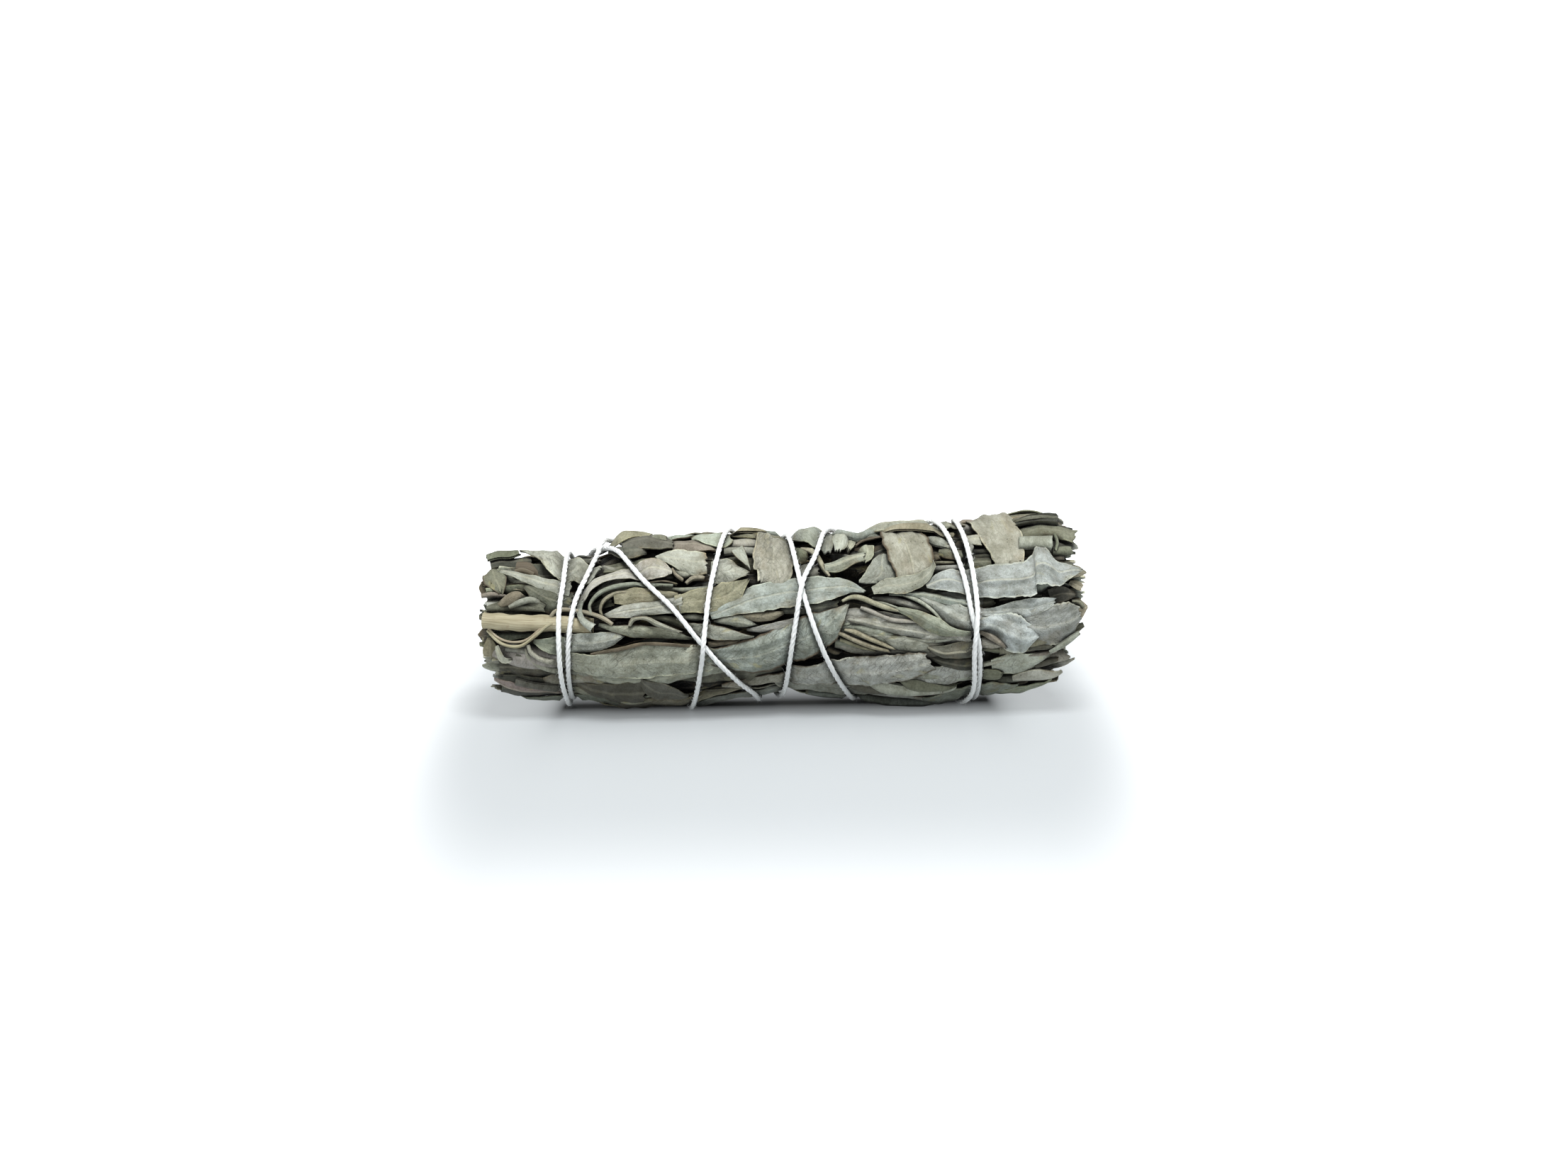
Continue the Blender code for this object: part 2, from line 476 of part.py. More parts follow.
def tube_rings(path, radius, sides):
    """Rings of points round a path, turned as little as possible from one to the next."""
    rings = []
    normal = Vector((0.0, 0.0, 1.0))
    for number, middle in enumerate(path):
        before = path[max(number - 1, 0)]
        after = path[min(number + 1, len(path) - 1)]
        run = (after - before).normalized()
        normal = (normal - run * normal.dot(run)).normalized()
        side = run.cross(normal)
        rings.append([
            middle + radius * (normal * math.cos(turn) + side * math.sin(turn))
            for turn in (math.tau * number / sides for number in range(sides))
        ])
    return rings


def add_core():
    """The pressed stems and leaves inside, which the outer leaves stand out of."""
    dice = random.Random(11)
    length = CORE_END - CORE_START
    places = [CORE_START + length * step / CORE_STEPS for step in range(CORE_STEPS + 1)]
    rings = []
    for place in places:
        radius = profile(place)[1] - CORE_DEPTH
        rings.append([
            point(place, math.tau * side / CORE_SIDES, radius * dice.uniform(*CORE_ROUGHNESS))
            for side in range(CORE_SIDES)
        ])
    return add_loft("core", rings)


def sector(first, last, along):
    """The angles of the two edges of a leafy stem at a place along the bundle, the second one larger."""
    start = EDGES[first](along)
    end = EDGES[last](along)
    while end < start:
        end += math.tau
    return start, end


def add_wedge(name, first, last):
    """The room that one leafy stem fills: a sector of the bundle, flat where it meets the surface."""
    places = [
        -BUNDLE_LENGTH / 2 + BUNDLE_LENGTH * step / WEDGE_STEPS
        for step in range(WEDGE_STEPS + 1)
    ]
    inset = STEM_GAP / 2
    shrink = inset / WEDGE_REACH
    rings = []
    for place in places:
        start, end = sector(first, last, place)
        apex = inset / math.sin(min((end - start) / 2, math.pi / 2))
        middle = (start + end) / 2
        ring = [point(place, middle, apex)]
        for step in range(WEDGE_SIDES + 1):
            turn = start + shrink + (end - start - 2 * shrink) * step / WEDGE_SIDES
            ring.append(point(place, turn, WEDGE_REACH))
        for corner in ring[1:]:
            corner.z = max(corner.z, 0.0)
        rings.append(ring)
    return add_loft(name, rings, flip_first=True)


def in_sector(angle, along, first, last):
    """Whether a place on the bundle belongs to the leafy stem between two edges."""
    start, end = sector(first, last, along)
    while angle < start:
        angle += math.tau
    return start <= angle <= end


def ruled_leaves(first, last, seed):
    """Leaves over the sides that the front view doesn't show, and a low layer behind those it does."""
    dice = random.Random(seed)
    lowest, highest = (math.radians(angle) for angle in SHOWN_ANGLES)
    leaves = []
    for row in range(RULED_ROWS):
        for column in range(RULED_COLUMNS):
            along = RULED_START + RULED_PITCH * column + (row % 3) * RULED_STAGGER
            along += dice.uniform(-RULED_SHIFT, RULED_SHIFT)
            angle = math.radians(row * RULED_TURN + dice.uniform(-RULED_LEAN, RULED_LEAN))
            length = dice.uniform(*RULED_LENGTHS)
            half = dice.uniform(*RULED_HALF_WIDTHS)
            slope = dice.uniform(-RULED_SLOPE, RULED_SLOPE)
            bend = dice.uniform(-RULED_BEND, RULED_BEND)
            layer = dice.choice((1, 2, 3, 4))
            if not in_sector(angle, along, first, last):
                continue
            shown = lowest < (angle + math.pi) % math.tau - math.pi < highest
            if shown and column % 2:
                continue
            if shown:
                layer = 0
            length = min(length, 2 * (END_REACH - abs(along)))
            if length > SHORTEST_LEAF:
                leaves.append(add_blade(ruled_rows(along, angle, length, half, slope, bend), layer, not shown))
    return leaves


def end_leaves(first, last, seed):
    """Inner leaves and the stem, which show only at the two ends of the bundle."""
    dice = random.Random(seed)
    pieces = []
    for end in (-1, 1):
        start, stop = sector(first, last, end * INNER_PLACE)
        for share, place in INNER_LEAVES:
            angle = start + (stop - start) * (place + dice.uniform(-INNER_SHIFT, INNER_SHIFT))
            tip = end * dice.uniform(*INNER_TIPS)
            half = dice.uniform(*INNER_HALF_WIDTHS)
            pieces.append(add_inner_leaf(end * INNER_ROOT, tip, angle, share, half))
    # The stem runs midway between the first edge at its cut end and the last edge at the far end
    angle = (EDGES[first](STEM_CUT) + sector(first, last, INNER_PLACE)[1]) / 2
    middle = [point(along, angle + turn, radius) for along, turn, radius in STEM_PATH]
    pieces.append(add_loft("stem", tube_rings(middle, STEM_RADIUS * MM, STALK_SIDES)))
    return pieces


def add_inner_leaf(root, tip, angle, share, half):
    """A leaf between the layers: a plate from inside the core out past its end."""
    rings = []
    for step, width in INNER_SHAPE:
        place = root + (tip - root) * step
        radius = profile(place)[1] * share + INNER_RISE * step
        reach = half * width / radius
        rings.append((
            point(place, angle + reach, radius),
            point(place, angle - reach, radius),
            point(place, angle - reach, radius - BLADE_THICKNESS),
            point(place, angle + reach, radius - BLADE_THICKNESS),
        ))
    return add_loft("inner leaf", rings)


def foot_leaves(first, last):
    """Leaves pressed flat where the bundle's two bulges lie on the surface."""
    feet = []
    for along in FOOT_PLACES:
        for angle in FOOT_ANGLES:
            turn = math.radians(angle)
            if in_sector(turn, along, first, last):
                rows = ruled_rows(along, turn, FOOT_LENGTH, FOOT_HALF_WIDTH, 0.0, 0.0)
                feet.append(add_blade(rows, FOOT_LAYER, False))
    return feet


def spline(knots, values, place):
    """A smooth curve through values at rising knots, read at one place."""
    last = len(knots) - 1
    number = 0
    while number < last - 1 and place > knots[number + 1]:
        number += 1

    def slope(index):
        before = max(index - 1, 0)
        after = min(index + 1, last)
        return (values[after] - values[before]) / (knots[after] - knots[before])

    width = knots[number + 1] - knots[number]
    share = (place - knots[number]) / width
    start = values[number]
    end = values[number + 1]
    curve = (2 * share ** 3 - 3 * share ** 2 + 1) * start + (3 * share ** 2 - 2 * share ** 3) * end
    curve += (share ** 3 - 2 * share ** 2 + share) * width * slope(number)
    return curve + (share ** 3 - share ** 2) * width * slope(number + 1)


def string_course():
    """The string's place along the bundle against the angle wound, from knot to knot."""
    wound = [-math.radians(KNOT_ANGLE)]
    along = [KNOT_PLACE]
    turns = len(STRING_PASSES)
    for number, front in enumerate(STRING_PASSES):
        places = [on_bundle(across, up) for across, up in front]
        for place, angle in places:
            wound.append(math.tau * number - angle)
            along.append(place)
        following = on_bundle(*STRING_PASSES[number + 1][0])[0] if number < turns - 1 else KNOT_PLACE
        for turn in TURN_ANGLES:
            if number == turns - 1 and turn < KNOT_ANGLE - 360.0 + TURN_MARGIN:
                break
            share = (TURN_START - turn) / TURN_RANGE
            wound.append(math.tau * number - math.radians(turn))
            along.append(places[-1][0] + (following - places[-1][0]) * share)
    wound.append(math.tau * turns - math.radians(KNOT_ANGLE))
    along.append(KNOT_PLACE)
    return wound, along


def string_path():
    """Points in metres along the middle of the string; a later turn rises over an earlier one."""
    wound, along = string_course()
    begin = wound[0]
    end = wound[-1]
    path = []
    place = begin + KNOT_MARGIN
    while place < end - KNOT_MARGIN:
        here = spline(wound, along, place)
        radius = profile(here)[1]
        rise = STRING_RISE
        for turn in range(-len(STRING_PASSES), len(STRING_PASSES) + 1):
            other = place + turn * math.tau
            if turn == 0 or other < begin or other > end:
                continue
            apart = abs(spline(wound, along, other) - here)
            if apart < CROSSING_REACH:
                near = STRING_CROSSING * (1.0 - (apart / CROSSING_REACH) ** 2) ** 2
                rise += CROSSING_SHARES[0] * near if turn < 0 else -CROSSING_SHARES[1] * near
        spot = point(here, -place, radius + rise)
        spot.z = max(spot.z, (STRING_DIAMETER / 2 + SURFACE_GAP) * MM)
        path.append(spot)
        place += (STRING_STEP if rise == STRING_RISE else STRING_STEP / 2) / radius
    return path


def add_string(path):
    """The cotton string with its knot and tails as one solid."""
    radius = STRING_DIAMETER / 2 * MM
    thing = add_loft("cotton_string", tube_rings(path, radius, STRING_SIDES))
    angle = math.radians(KNOT_ANGLE)
    out = (point(KNOT_PLACE, angle, 14.0) - point(KNOT_PLACE, angle, 13.0)).normalized()
    side = Vector((1.0, 0.0, 0.0))
    run = side.cross(out)
    centre = point(KNOT_PLACE, angle, profile(KNOT_PLACE)[1] + KNOT_RISE)
    loops = []
    for way, end, turn in ((1, path[0], 1), (-1, path[-1], -1)):
        points = [end]
        for ahead, beside, above in KNOT_LOOP:
            points.append(centre + (run * -way * ahead + side * turn * beside + out * above) * MM)
        loops.append(add_loft("knot", tube_rings(points, radius, STRING_SIDES)))
    combine(thing, loops, "UNION")
    keep_one_body(thing)
    return thing


def add_grooves(path):
    """The room pressed into the leaves by the string: overlapping lengths, every second one wider."""
    grooves = []
    for number, start in enumerate(range(0, len(path) - 2, GROOVE_POINTS - GROOVE_OVERLAP)):
        radius = (STRING_DIAMETER / 2 + STRING_GAP + GROOVE_WIDENING * (number % 2)) * MM
        rings = tube_rings(path, radius, STRING_SIDES)
        grooves.append(add_loft("groove", rings[start:start + GROOVE_POINTS]))
    return grooves


def add_sprig(name, first, last, leaves, stalks, seed, path):
    """One leafy stem: core, leaves, stalks and ends in one body, kept inside its own sector."""
    sprig = add_core()
    sprig.name = name
    pieces = [add_seen_leaf(leaf[0], leaf[1:]) for leaf in leaves]
    pieces += [add_stalk(stalk[0], stalk[1:]) for stalk in stalks]
    pieces += ruled_leaves(first, last, seed)
    pieces += end_leaves(first, last, seed)
    pieces += foot_leaves(first, last)
    combine(sprig, pieces, "UNION")
    combine(sprig, [add_wedge("wedge", first, last)], "INTERSECT")
    combine(sprig, add_grooves(path), "DIFFERENCE")
    keep_one_body(sprig)
    paint(sprig, SAGE_DARK if "low" in name else SAGE, 0.9)
    return sprig


def clear_scene():
    for thing in list(bpy.data.objects):
        bpy.data.objects.remove(thing)


def build():
    clear_scene()
    path = string_path()
    add_sprig("sprig_top", "top", "ridge", TOP_LEAVES, TOP_STALKS, 21, path)
    add_sprig("sprig_front", "low", "top", FRONT_LEAVES, FRONT_STALKS, 22, path)
    add_sprig("sprig_low_front", "under", "low", LOW_LEAVES, (), 23, path)
    add_sprig("sprig_low_back", "back", "under", (), (), 24, path)
    add_sprig("sprig_back", "ridge", "back", (), (), 25, path)
    string = add_string(path)
    paint(string, COTTON, 0.95)


build()
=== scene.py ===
import math
import random

import bpy
import numpy as np
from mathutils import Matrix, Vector


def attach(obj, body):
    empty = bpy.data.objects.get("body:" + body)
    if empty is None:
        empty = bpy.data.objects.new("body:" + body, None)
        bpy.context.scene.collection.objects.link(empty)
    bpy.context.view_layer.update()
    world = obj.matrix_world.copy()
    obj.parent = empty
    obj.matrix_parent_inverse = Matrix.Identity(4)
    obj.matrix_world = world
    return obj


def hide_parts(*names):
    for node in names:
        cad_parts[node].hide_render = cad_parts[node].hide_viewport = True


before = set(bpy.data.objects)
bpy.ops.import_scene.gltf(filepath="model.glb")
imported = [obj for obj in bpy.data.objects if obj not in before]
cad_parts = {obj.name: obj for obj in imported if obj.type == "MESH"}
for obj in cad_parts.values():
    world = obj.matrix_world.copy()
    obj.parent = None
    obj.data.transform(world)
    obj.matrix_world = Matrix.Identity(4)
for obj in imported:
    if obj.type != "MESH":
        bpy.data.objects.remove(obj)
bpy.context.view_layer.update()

mm = 0.001

# How the bundle was read: millimetres as seen from the front, looking down a little
reading = {
    "tilt": math.radians(10.0),
    "distance": 340.0,
    "centre": (0.3, 20.0),
    "reach": 0.97,  # past this share of the radius, what is seen wraps on round
    "wrap": 4.0,
    "rounds": 4,
}

# Bulges and waists of the bundle: place along it, height of its axis, radius
profile = (
    (-52.5, 14.7, 11.5), (-49.3, 14.65, 12.0), (-44.4, 14.25, 12.8), (-37.1, 14.25, 12.6),
    (-33.4, 14.2, 12.6), (-27.3, 14.9, 15.1), (-21.2, 14.75, 14.7), (-14.5, 14.95, 15.2),
    (-9.0, 15.55, 14.8), (-3.5, 15.65, 14.4), (0.8, 15.65, 13.6), (5.7, 16.05, 14.4),
    (10.6, 15.5, 14.3), (13.0, 15.05, 14.2), (17.9, 15.35, 15.5), (24.0, 15.35, 15.8),
    (30.1, 15.85, 15.7), (33.2, 16.15, 15.3), (36.2, 16.85, 15.5), (41.1, 17.35, 15.7),
    (46.0, 17.95, 15.3), (52.5, 18.2, 14.6),
)
profileTable = np.array(profile)

# How far the tips reach at the left end and the right end, by degrees round the bundle
endReaches = {
    -1: ((-180, 50.5), (-120, 49.5), (-60, 49.6), (-25, 51.2), (20, 51.2), (60, 51.0), (120, 50.0),
         (180, 50.5)),
    1: ((-180, 49.5), (-90, 47.5), (-50, 48.4), (-25, 50.2), (15, 51.2), (50, 50.0), (80, 48.6),
        (180, 49.5)),
}

bundle = {
    "meanRadius": 14.0,
    "layerDepth": 2.3,  # how deep the lowest leaves lie
    "layerHeight": 0.48,
    "leafThickness": 0.36,
    "thinEdge": 0.45,
    "aboveFloor": 0.05,
    # painted shade: a leaf lying deeper than this below the outside has its colour darkened, less so near
    # the ends
    "shadeFrom": 0.95,  # below this depth a leaf goes dark
    "shadeDepth": 1.35,
    # how far the painted shade darkens the deepest leaves
    "deepestPaintedShade": 0.985,
    "endPlace": 49.5,  # near the ends it stays light
    "endShade": 7.0,
}

# How a leaf's section is bent: minus bends its edges in, plus lifts them
leafKinds = {
    "flat": {"bend": -0.5, "vee": 0.0, "pleat": 0.13, "arch": 0.1, "rib": 0.5, "net": 0.7},
    "dome": {"bend": -1.7, "vee": 0.0, "pleat": 0.12, "arch": 0.15, "rib": 0.35, "net": 1.0},
    "smooth": {"bend": -1.7, "vee": 0.0, "pleat": 0.14, "arch": 0.15, "rib": 0.2, "net": 0.2},
    "cup": {"bend": 1.4, "vee": 0.0, "pleat": 0.12, "arch": 0.05, "rib": 0.6, "net": 0.6},
    "fold": {"bend": -0.4, "vee": -0.6, "pleat": 0.12, "arch": 0.15, "rib": 0.9, "net": 0.25},
    "valley": {"bend": -0.2, "vee": 0.45, "pleat": 0.10, "arch": 0.05, "rib": 0.9, "net": 0.4},
    "roll": {"bend": -4.6, "vee": 0.0, "pleat": 0.05, "arch": 0.1, "rib": 0.0, "net": 0.3},
    "curl": {"bend": 3.6, "vee": 0.0, "pleat": 0.06, "arch": 0.1, "rib": 0.0, "net": 0.3},
    "knot": {"bend": -1.6, "vee": 0.0, "pleat": 0.45, "arch": 0.2, "rib": 0.0, "net": 0.8},
}

# Leaf colours as they look in even light, 0 to 255; the dark, dim and deep tones are partly the leaves' own
# colour and partly painted shade, for leaves that lie in shade
leafTones = {
    "pale": (177, 180, 170), "sage": (155, 158, 147), "grey": (150, 154, 146),
    "blue": (160, 166, 159), "beige": (169, 169, 157), "straw": (167, 163, 145),
    "tan": (150, 146, 128), "olive": (129, 131, 116), "brown": (110, 104, 91),
    "pink": (142, 137, 127), "dark": (98, 98, 89), "stalk": (160, 156, 134),
    "dim": (110, 111, 101), "deep": (82, 83, 76), "wood": (100, 94, 82),
    "frost": (174, 181, 175),
}
toneGamma = 2.2
toneChance = {"light": 1.6, "hue": 0.3}

# Leaves seen from the front: kind, layer, tone, then along, up and half width down the middle
topLeaves = (
    ("flat", 3.4, "deep", (-50.4, 25.6, 0.7), (-47.0, 26.0, 0.9), (-43.0, 26.2, 0.8)),
    ("roll", 5.4, "olive", (-51.0, 25.9, 0.4), (-49.0, 26.5, 0.6), (-47.0, 26.5, 0.55),
     (-45.2, 27.0, 0.4)),
    ("fold", 4, "grey", (-49.3, 24.8, 0.3), (-46.0, 23.3, 0.45), (-42.5, 22.1, 0.8), (-39.0, 21.2, 1.0),
     (-36.5, 20.6, 1.1)),
    ("flat", 3, "olive", (-50.2, 24.7, 1.6), (-49.6, 23.0, 1.75), (-49.0, 21.5, 1.0), (-48.8, 20.2, 0.3)),
    ("flat", 0, "brown", (-51.5, 24.3, 0.5), (-51.2, 22.5, 1.0), (-50.8, 20.7, 0.9)),
    ("roll", 2, "pink", (-52.3, 20.3, 0.3), (-50.5, 20.5, 0.45), (-47.5, 20.0, 0.25)),
    ("roll", 0, "dark", (-51.2, 19.2, 0.5), (-49.5, 19.2, 0.5), (-47.0, 19.3, 0.3)),
    ("dome", 2, "dark", (-36.5, 26.4, 0.3), (-34.0, 26.7, 0.5), (-31.2, 26.3, 0.3)),
    ("knot", 2, "sage", (-31.2, 25.0, 0.4), (-29.6, 24.6, 0.8), (-28.0, 24.4, 0.3)),
    ("fold", 5, "pale", (-19.0, 23.3, 0.3), (-20.5, 23.5, 1.2), (-22.5, 23.7, 1.6), (-25.0, 23.4, 1.3),
     (-28.0, 22.8, 0.7), (-31.0, 22.0, 0.6), (-33.3, 20.7, 0.6), (-34.8, 18.5, 0.5)),
    ("dome", 5.4, "tan", (-30.0, 28.0, 0.2), (-28.5, 28.8, 0.6), (-26.5, 29.8, 0.9), (-24.7, 30.1, 0.9),
     (-22.3, 29.2, 0.4)),
    ("dome", 4.6, "dim", (-27.5, 28.2, 0.7), (-24.5, 28.7, 1.2), (-21.5, 28.5, 1.1), (-18.5, 28.2, 0.6)),
    ("dome", 4, "dim", (-30.0, 27.7, 0.2), (-27.5, 27.1, 0.9), (-25.0, 27.0, 0.8), (-23.3, 27.5, 0.3)),
    ("roll", 4.6, "olive", (-22.8, 29.2, 0.3), (-21.5, 29.3, 0.5), (-19.5, 28.8, 0.3)),
    ("roll", 1, "olive", (-28.0, 26.0, 0.3), (-25.0, 26.0, 0.5), (-22.0, 26.3, 0.4)),
    ("fold", 3, "pink", (-20.5, 28.0, 0.3), (-18.0, 28.5, 1.1), (-15.0, 28.3, 1.0), (-12.5, 27.8, 0.4),
     (-10.8, 27.7, 0.2)),
    ("dome", 4, "pale", (-15.5, 29.7, 0.2), (-13.0, 29.2, 0.8), (-10.0, 29.0, 1.1), (-8.5, 29.3, 0.8)),
    ("roll", 2, "sage", (-10.0, 27.7, 0.5), (-7.0, 27.7, 0.5), (-4.3, 27.6, 0.5)),
    ("roll", 2, "beige", (-9.0, 29.0, 0.5), (-6.0, 29.0, 0.6), (-3.2, 28.8, 0.4)),
    ("roll", 5, "tan", (-9.0, 30.0, 0.3), (-5.0, 30.2, 0.4), (-2.5, 29.9, 0.2)),
    ("dome", 3, "beige", (-18.9, 24.1, 0.3), (-17.2, 23.5, 0.7), (-15.3, 23.5, 0.4), (-13.6, 23.2, 0.1)),
    ("roll", 4, "tan", (-19.0, 23.9, 0.25), (-18.4, 22.9, 0.25), (-17.0, 21.8, 0.25)),
    ("roll", 3, "tan", (-16.7, 21.5, 0.3), (-15.5, 22.4, 0.4), (-13.3, 22.5, 0.4)),
    ("roll", 3, "brown", (-24.0, 21.5, 0.2), (-20.5, 21.9, 0.2), (-18.0, 21.3, 0.2)),
    ("flat", 5, "pale", (-7.7, 26.9, 1.2), (-6.9, 25.5, 0.9), (-6.0, 24.2, 0.4), (-5.5, 23.5, 0.1)),
    ("dome", 4, "beige", (0.2, 31.6, 0.4), (-0.6, 30.7, 1.7), (-1.2, 29.4, 2.5), (-1.4, 27.0, 3.0),
     (-1.5, 24.5, 3.2), (-1.9, 22.3, 2.7), (-3.2, 20.7, 1.2)),
    ("dome", 5.4, "sage", (0.5, 30.2, 0.3), (3.0, 29.4, 1.1), (5.6, 28.9, 1.6), (8.0, 29.1, 1.1)),
    ("knot", 2, "olive", (2.2, 26.6, 0.9), (3.6, 26.3, 0.7), (4.8, 26.1, 0.1)),
    ("dome", 2, "sage", (2.8, 23.2, 0.8), (4.5, 23.6, 1.3), (6.5, 23.7, 0.7)),
    ("roll", 3, "straw", (3.3, 27.4, 0.2), (5.5, 26.7, 0.4), (7.3, 23.7, 0.4), (8.3, 22.2, 0.2)),
    ("dome", 4.4, "grey", (8.0, 30.0, 0.8), (7.8, 27.7, 1.0), (7.9, 25.9, 0.6)),
    ("dome", 4, "pale", (10.3, 29.8, 1.1), (10.1, 28.0, 1.2), (9.6, 26.6, 0.6)),
    ("flat", 3, "beige", (11.7, 29.3, 0.3), (12.2, 28.4, 0.5), (11.4, 27.1, 0.2)),
    ("fold", 4, "sage", (7.4, 23.6, 0.5), (9.5, 23.9, 0.9), (12.0, 25.0, 0.7), (14.5, 25.5, 0.5)),
    ("fold", 3, "beige", (14.6, 27.5, 1.2), (14.9, 26.0, 0.8), (14.0, 25.0, 0.5)),
    ("knot", 3, "grey", (13.6, 29.2, 0.3), (15.0, 29.6, 0.6), (17.0, 30.2, 0.6)),
    ("fold", 5.2, "sage", (13.6, 29.4, 0.3), (16.5, 30.2, 0.7), (20.0, 30.6, 0.9), (24.0, 30.7, 0.8),
     (28.0, 30.6, 0.5), (30.5, 30.6, 0.2)),
    ("roll", 5.4, "tan", (17.5, 29.5, 0.2), (20.5, 29.9, 0.4), (24.0, 29.8, 0.5), (27.5, 29.3, 0.45),
     (30.0, 28.9, 0.3)),
    ("roll", 3, "sage", (24.6, 28.9, 0.2), (26.5, 28.3, 0.7), (28.5, 27.7, 0.6), (30.0, 27.0, 0.4)),
    ("dome", 2, "olive", (27.2, 26.8, 0.4), (28.7, 26.4, 0.8), (31.5, 25.9, 0.7)),
    ("dome", 2, "brown", (25.7, 25.9, 0.4), (26.6, 26.0, 0.7), (27.7, 25.6, 0.2)),
    ("roll", 2, "tan", (26.0, 24.7, 0.25), (30.0, 24.6, 0.25)),
    ("roll", 2, "grey", (26.2, 23.6, 0.5), (29.0, 23.6, 0.5), (32.0, 23.7, 0.5)),
    ("flat", 3, "beige", (31.9, 28.3, 0.7), (34.7, 28.3, 0.7)),
    ("knot", 3, "pale", (32.0, 26.7, 0.7), (33.3, 26.6, 0.7)),
    ("roll", 1, "dark", (33.0, 27.0, 0.4), (37.0, 27.0, 0.4)),
    ("roll", 1, "dark", (33.0, 25.9, 0.4), (37.0, 26.0, 0.4)),
    ("dome", 2, "olive", (33.0, 24.6, 0.9), (36.5, 24.5, 0.9)),
    ("roll", 4, "dim", (39.8, 31.1, 0.25), (43.0, 31.6, 0.3), (46.0, 31.75, 0.25), (47.8, 31.6, 0.2)),
    ("flat", 1, "deep", (41.0, 31.1, 0.4), (44.5, 31.4, 0.6), (47.8, 31.2, 0.7)),
    ("curl", 3.6, "deep", (40.2, 30.6, 0.3), (43.5, 31.2, 0.5), (47.9, 31.0, 0.6)),
    ("roll", 2, "deep", (46.0, 31.0, 0.3), (50.3, 30.3, 0.25)),
    ("roll", 4, "sage", (41.0, 27.3, 1.0), (44.0, 27.3, 1.0), (46.9, 27.1, 1.2)),
    ("roll", 4, "olive", (47.2, 28.7, 0.25), (47.6, 27.2, 0.3), (47.3, 25.8, 0.25)),
    ("roll", 2, "olive", (47.0, 26.3, 0.7), (50.4, 26.3, 0.7)),
    ("roll", 1, "dark", (45.8, 25.0, 0.4), (49.3, 25.1, 0.5)),
    ("cup", 1, "sage", (46.5, 24.8, 0.2), (48.5, 24.0, 0.3), (50.6, 23.8, 0.35)),
)
